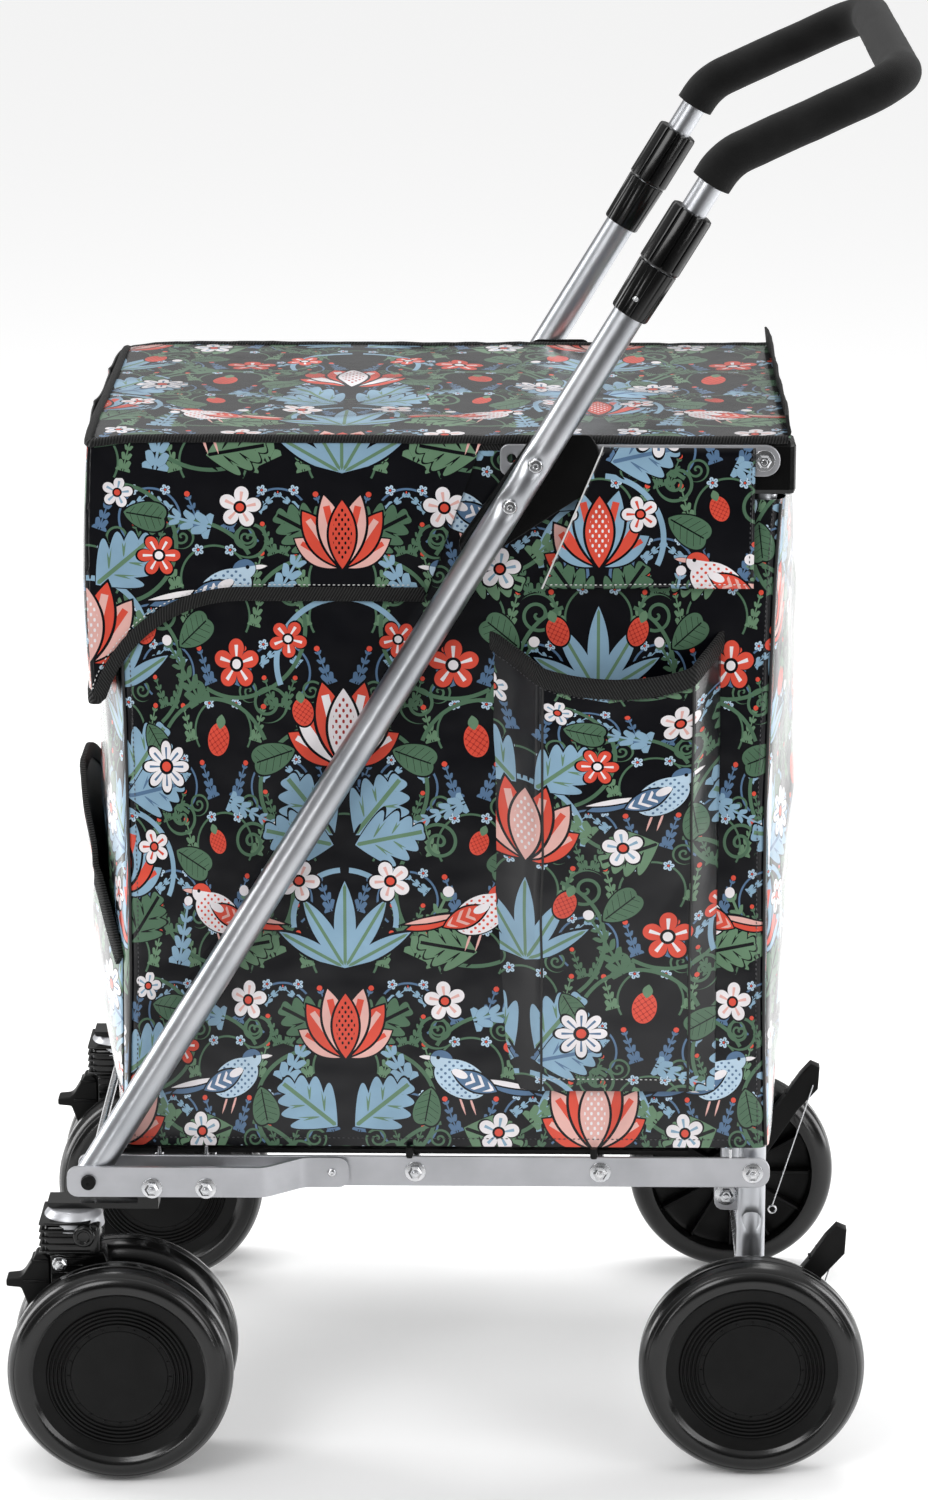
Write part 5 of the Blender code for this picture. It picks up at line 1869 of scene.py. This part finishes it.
def lid_top_height(x, y):
    """Lid panel: taut at its edges, slack and wavy in the middle."""
    along = (x - LID_LOW.x) / (BAG_HIGH.x - LID_LOW.x)
    across = (y + LID_HIGH.y) / (2 * LID_HIGH.y)
    slack = bell(along, 0.5) * bell(across, 0.6)
    point = Vector((x, y, 0.3))
    wave = 0.0042 * ripple(point, 8, 3.0) + 0.0024 * ripple(point, 19, 6.0) + 0.0026 * pull_lines(
        Vector((y, 0, x * 2)), 2.0
    )
    return LID_HIGH.z + min(-0.0035 * slack + wave * slack, 0.0)


def edge_sag(x, y):
    """How far the lid's sewn edge hangs below its corners' height."""
    corner = math.exp(-((x - LID_LOW.x) / 0.016) ** 2 - ((abs(y) - LID_HIGH.y) / 0.016) ** 2)
    return -0.0013 * (1 + ripple(Vector((x, y, 0)), 13, 21.0)) - 0.0032 * corner


def skirt_out(x, t):
    """How far the side skirt stands off, from its top (0) to its hem (1)."""
    point = Vector((x, 0.0, t * 0.12))
    lean = 0.0005 + 0.0008 * t
    return min(
        lean + (0.0008 * ripple(point, 14, 9.0) + 0.0006 * pull_lines(point, 6.0)) * bell(t, 0.3), 0.0022
    )


def front_out(y, t):
    """How far the front skirt bulges."""
    across = max(1 - abs(y / LID_HIGH.y) ** 3, 0.0)
    point = Vector((0.5, y, t * 0.19))
    return (
        0.0110 * bell(
            0.12 + t * 0.62, 0.8
        ) + 0.0030 * ripple(point, 11, 4.0) + 0.0020 * pull_lines(point, 1.0)
    ) * across ** 0.6


def side_skirt_point(x, t, side):
    z = lerp(LID_HIGH.z - 0.001 + edge_sag(x, side * LID_HIGH.y), hem_height(x), t)
    front_pull = 0.003 * bell(t, 1.0) * max(1 - (x - LID_LOW.x) / 0.03, 0.0)
    return Vector((x - front_pull, side * (LID_HIGH.y - 0.0014 + skirt_out(x, t) * (1 if t > 0 else 0)), z))


def front_skirt_point(y, t):
    z = lerp(LID_HIGH.z - 0.001 + edge_sag(LID_LOW.x, y), HEM_FRONT_Z, t)
    edge = min(abs(y) / LID_HIGH.y, 1.0)
    front_pull = 0.003 * bell(t, 1.0) * edge ** 12
    return Vector(
        (
            LID_LOW.x - front_out(y, t) - front_pull,
            y * (LID_HIGH.y - 0.0014 + skirt_out(LID_LOW.x, t) * (1 if t > 0 else 0)) / LID_HIGH.y, z,
        )
    )


def build_lid():
    """Lid panel with side and front skirts, hem tape, piping, rear tape and stud."""
    sheet = Sheet()
    rear = BAG_HIGH.x - 0.002
    wide = LID_HIGH.y - 0.0014
    columns, rows = 90, 64

    def top(i, j):
        x, y = lerp(LID_LOW.x, rear, i / columns), lerp(-wide, wide, j / rows)
        edge = 1.0 if i == 0 or j in (0, rows) else 0.0
        inward = min(x - LID_LOW.x, wide - abs(y))
        sag = edge_sag(x, y) * max(1 - inward / 0.045, 0.0) ** 1.5
        return Vector((x, y, lid_top_height(x, y) - 0.001 * edge + sag))

    sheet.patch(columns, rows, top, lambda i, j: (
        (lerp(LID_LOW.x, rear, i / columns) - PRINT_AXIS_X) * 100, lerp(-wide, wide, j / rows) * 100 + 14.0))
    for _, side in SIDES:
        steps, drops = 92, 40

        def skirt_x(i):
            return lerp(LID_LOW.x, SKIRT_REAR_HIGH - 0.0004, i / steps)

        sheet.patch(
            steps, drops, lambda i, j: side_skirt_point(skirt_x(i), j / drops, side), lambda i,
            j: side_print(side_skirt_point(skirt_x(i), j / drops, side) + Vector((0, 0, 0.055)), side),
            flip=side < 0,
        )
    columns_y, drops = 64, 44
    sheet.patch(
        columns_y, drops, lambda i,
        j: front_skirt_point(lerp(-LID_HIGH.y, LID_HIGH.y, i / columns_y), j / drops), lambda i,
        j: end_print(
            front_skirt_point(lerp(-LID_HIGH.y, LID_HIGH.y, i / columns_y), j / drops) + Vector((0, 0, 0.06))
        ),
        flip=True,
    )
    bmesh.ops.remove_doubles(sheet.bm, verts=sheet.bm.verts, dist=0.0004)
    bmesh.ops.recalc_face_normals(sheet.bm, faces=sheet.bm.faces)
    probe = max(
        sheet.bm.faces,
        key=lambda f: f.calc_center_median().z - abs(
            f.calc_center_median().x
        ) - abs(f.calc_center_median().y),
    )
    if probe.normal.z < 0:
        bmesh.ops.reverse_faces(sheet.bm, faces=sheet.bm.faces)
    lid = sheet.make("lid_cloth", 0.0011)

    path, outs = [], []
    for x in between(SKIRT_REAR_LOW, LID_LOW.x + 0.004, 49):
        path.append(side_skirt_point(x, 1.0, -1))
        outs.append(Vector((0, -1, 0)))
    for k in range(1, 6):
        angle = math.radians(180 + 90 - 18 * k)
        outs.append(Vector((math.cos(angle), math.sin(angle), 0)))
        path.append(
            Vector(
                (
                    LID_LOW.x + 0.002 + 0.004 * math.cos(angle),
                    -(LID_HIGH.y - 0.004) + 0.004 * math.sin(angle), HEM_FRONT_Z,
                )
            )
        )
    for k in range(1, 32):
        path.append(front_skirt_point(lerp(-LID_HIGH.y + 0.006, LID_HIGH.y - 0.006, k / 32), 1.0))
        outs.append(Vector((-1, 0, 0)))
    path += mirrored(path[:55])
    outs += mirrored(outs[:55])
    ups = ups_of(path, outs)
    tape, thread = beside(path, ups, outs, 0.0042, -0.0004), beside(path, ups, outs, 0.0108, 0.0004)
    parts = [lid, band("hem_tape", tape, outs, 0.0100, 0.0034, ups=ups)]
    parts.append(stitches("hem_thread", thread[2:-2], outs[2:-2]))
    edge = []
    inset = LID_HIGH.y - 0.0012
    for x in between(rear - 0.002, LID_LOW.x + 0.004, 59):
        wobble = 0.0009 * noise.noise(Vector((x * 60, 1, 0)))
        edge.append(Vector((x, -inset - wobble, LID_HIGH.z - 0.0014 + edge_sag(x, -inset) + wobble)))
    for k in range(1, 5):
        angle = math.radians(180 + 90 - 18 * k)
        edge.append(
            Vector(
                (
                    LID_LOW.x + 0.004 + 0.004 * math.cos(angle), -inset + 0.004 + 0.004 * math.sin(angle),
                    LID_HIGH.z - 0.0014 + edge_sag(LID_LOW.x, -inset),
                )
            )
        )
    for y in between(-inset + 0.006, inset - 0.006, 40):
        edge.append(Vector((LID_LOW.x, y, LID_HIGH.z - 0.0014 + edge_sag(LID_LOW.x, y))))
    edge += mirrored(edge[:64])
    parts.append(corded_edge("top_piping", edge, 0.0030))
    tape_half = 0.166
    strip, strip_out, strip_up = [], [], []
    for y in between(-tape_half, tape_half, 60):
        sway = 0.0022 * noise.noise(Vector((y * 14, 2, 0)))
        strip.append(
            Vector(
                (rear - 0.001 + sway, y, LID_HIGH.z + 0.0062 + 0.0018 * noise.noise(Vector((y * 22, 5, 0))))
            )
        )
        strip_out.append(Vector((1, 0, 0)))
        strip_up.append(Vector((-0.12 + 0.18 * noise.noise(Vector((y * 18, 9, 0))), 0, 1)).normalized())
    parts.append(band("rear_tape", strip, strip_out, 0.0150, 0.0019, ups=strip_up, wave=0.0008))
    parts.append(
        lathe(
            "front_stud",
            rounded([(0.0, 0.0030), (0.0030, 0.0028), (0.0042, 0.0008), (0.0042, 0.0), (0.0, 0.0)], 0.0008),
            24, frame_along((-1, 0, 0), front_skirt_point(0.0, 0.88) + Vector((-0.0002, 0, 0))), ["zinc"],
        )
    )
    soft_piece(joined("lid_sewn", parts), "bag_lid", "lid")


def corded_edge(name, path, radius):
    """Ribbed binding rolled round an edge."""
    obj = swept(name, path, radius, ["tape"], 10)
    uv = obj.data.uv_layers.new(name="print")
    reach = [0.0]
    for before, here in zip(path, path[1:]):
        reach.append(reach[-1] + (here - before).length * 100)
    for poly in obj.data.polygons:
        sides = len(poly.vertices)
        for loop_index, vertex in zip(poly.loop_indices, poly.vertices):
            ring = min(vertex // 10, len(reach) - 1)
            uv.data[loop_index].uv = (reach[ring], (vertex % 10) * 0.1 if sides == 4 else 0.0)
    return obj


# ---------------------------------------------------------------- pockets and flaps
def build_side_pocket():
    """Gusseted pocket on the left side, its top edge sagging under a wide tape."""
    low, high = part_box("side_pocket")
    back_y = high.y + 0.0008
    deep = 0.0285
    x0, x1 = low.x + 0.001, high.x - 0.001
    face0, face1 = x0 + 0.033, x1 - 0.020
    z0, z1 = low.z, high.z
    sections = [(x0, 0.0, 12), (face0, 1.0, 40), (face1, 1.0, 10), (x1, 0.0, 0)]
    spots = []
    for (xa, da, count), (xb, db, _) in zip(sections, sections[1:]):
        for k in range(count):
            t = k / count
            spots.append((lerp(xa, xb, t), lerp(da, db, t), len(spots)))
    spots.append((x1, 0.0, len(spots)))
    rows = 70

    def place(i, j):
        x, out, _ = spots[i]
        up = j / rows
        depth = lerp(0.005, deep, min(up * 1.5, 1.0) ** 0.8)
        in_face = bell((x - face0) / (face1 - face0), 0.7) if face0 < x < face1 else 0.0
        z = lerp(z0, z1, up) - (0.018 * out + 0.010 * in_face) * up ** 5
        tuck = 0.003 * bell((x - x0) / (face0 - x0), 1.0) if x < face0 else 0.0
        y = back_y - out * depth - in_face * 0.0015 * bell(up, 0.8) + tuck
        point = Vector((x, y, z))
        wobble = out * (0.0016 * ripple(point, 15, 12.0) + 0.0011 * pull_lines(point, 7.5)) * bell(up, 0.35)
        point.y = max(min(y + wobble, back_y), low.y)
        point.x += 0.0012 * ripple(point, 20, 2.2) * bell(up, 0.5) * (
            0.0 if i in (0, len(spots) - 1) else 1.0
        )
        return point

    sheet = Sheet()
    grid = sheet.patch(len(spots) - 1, rows, place, lambda i, j: (
        (spots[i][0] - PRINT_AXIS_X) * 100 + 5.0, lerp(z0, z1, j / rows) * 100 + 24.0))
    sheet.bm.faces.new([grid[i][0] for i in range(len(spots))][::-1])
    pocket = sheet.make("bottle_pocket", 0.0011)
    top = [place(i, rows) for i in range(len(spots))]
    outs = []
    for k in range(len(top)):
        ahead = heading(top, k)
        outs.append(Vector((ahead.y, -ahead.x, 0)).normalized())
    ups = [Vector((0, 0, 1))] * len(top)
    tape, thread = beside(top, ups, outs, -0.0052, 0.0002), beside(top, ups, outs, -0.0130, 0.0004)
    parts = [pocket, band("pocket_tape", tape, outs, 0.0140, 0.0034, ups=ups, wave=0.0004),
             stitches("pocket_thread", thread, outs, look="dark_thread")]
    for i in (13, 52):
        seam = [place(i, j) for j in range(rows)]
        parts.append(swept("pocket_fold", seam, 0.0009, ["lining"], 6))
    hem = [place(i, 2) for i in range(12, 53)]
    parts.append(stitches("pocket_hem", hem, [Vector((0, -1, 0))] * len(hem)))
    soft_piece(joined("bottle_pocket_sewn", parts), "base_frame", "side_pocket")


def build_front_pocket():
    """Rounded pouch standing off the front panel, with a curved taped edge."""
    low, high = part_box("front_pocket")
    half = 0.158
    z0, z1, side_top = low.z, high.z - 0.004, 0.366
    columns, rows = 72, 48
    deep = 0.012

    def place(i, j):
        y = lerp(-half, half, i / columns)
        edge = abs(y) / half
        top = lerp(z1, side_top, edge ** 1.7)
        z = lerp(z0, top, j / rows)
        up = j / rows
        behind = bag_point(BAG_LOW.x, y, z, Vector((-1, 0, 0))).x - 0.0006
        stand = deep * (1 - edge ** 2.4) * (math.sin(math.pi * 0.62 * up) ** 0.8 if up > 0 else 0)
        point = Vector((behind - stand, y, z))
        point.x -= 0.0020 * (1 + ripple(point, 13, 14.0)) * (1 - edge ** 3) * bell(up * 0.8 + 0.1, 0.6)
        point.x = max(point.x, low.x - 0.004)
        return point

    sheet = Sheet()
    sheet.patch(columns, rows, place, lambda i, j: end_print(place(i, j) + Vector((0, 0, 0.13))), flip=True)
    pocket = sheet.make("front_pouch", 0.0010)
    top = [place(i, rows) for i in range(columns + 1)]
    outs = [
        Vector((-1, -0.55 if k < columns * 0.15 else (0.55 if k > columns * 0.85 else 0), 0)).normalized()
        for k in range(columns + 1)
    ]
    ups = ups_of(top, outs)
    tape = [p - u * 0.003 - Vector((0.0006, 0, 0)) for p, u in zip(top, ups)]
    thread = [p - u * 0.0105 - Vector((0.0012, 0, 0)) for p, u in zip(top, ups)]
    parts = [
        pocket, band("pouch_tape", tape, outs, 0.0115, 0.0040, ups=ups),
        stitches("pouch_thread", thread[3:-3], outs[3:-3]),
    ]
    base = [place(i, 1) for i in range(columns + 1)]
    parts.append(stitches("pouch_hem", base, [Vector((-1, 0, 0))] * len(base), look="dark_thread"))
    soft_piece(joined("front_pouch_sewn", parts), "base_frame", "front_pocket")


def build_flap(label, side):
    """Printed flap over the folding strap; its front edge runs beside the handle tube."""
    low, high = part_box(f"strap_flap_{label}")
    x1 = high.x + 0.006
    z0, z1 = low.z, high.z - 0.0012
    columns, rows = 44, 34
    front_low, front_high, guide_rear = 0.0625, 0.1050, 0.106
    face_y, second_y, first_y = 0.1766, 0.1751, 0.1726

    def front_x(z):
        return lerp(front_low, front_high, (z - z0) / (z1 - z0))

    def place(i, j):
        drop = j / rows
        z = lerp(z1, z0, drop)
        x = lerp(front_x(z), x1, i / columns)
        point = Vector((x, 0, z))
        over_guide = max(1 - max(x - guide_rear, 0.0) / 0.020, 0.0)
        y = face_y + 0.0022 * over_guide + 0.0008 * ripple(
            point, 22, side * 3.0
        ) + 0.0010 * bell(drop, 0.8) + 0.0012 * drop ** 3
        if j == 0:
            y = first_y
        elif j == 1:
            y = second_y
        return Vector((x, side * y, z))

    sheet = Sheet()
    sheet.patch(
        columns, rows, place, lambda i, j: side_print(place(i, j) + Vector((0, 0, 0.17)), side), flip=side < 0
    )
    flap = sheet.make(f"flap_{label}", 0.0009)
    out = Vector((0, side, 0))
    hem = [place(i, rows - 1) + out * 0.0002 for i in range(1, columns)]
    rear = [place(columns - 1, j) for j in range(2, rows)]
    front = [place(0, j) for j in range(1, rows + 1)]
    parts = [
        flap, stitches("flap_hem", hem, [out] * len(hem)),
        stitches("flap_rear", rear, [out] * len(rear), look="dark_thread"),
    ]
    parts.append(swept("flap_edge", front, 0.0006, ["thread"], 6))
    soft_piece(joined(f"flap_{label}_sewn", parts), "base_frame", f"strap_flap_{label}")


make_camera()
make_stage()
build_base()
build_wheels()
build_handle()
build_rear()
build_casters()
build_small_parts()
build_bag()
build_lid()
build_side_pocket()
build_front_pocket()
for side_label, side_sign in SIDES:
    build_flap(side_label, side_sign)
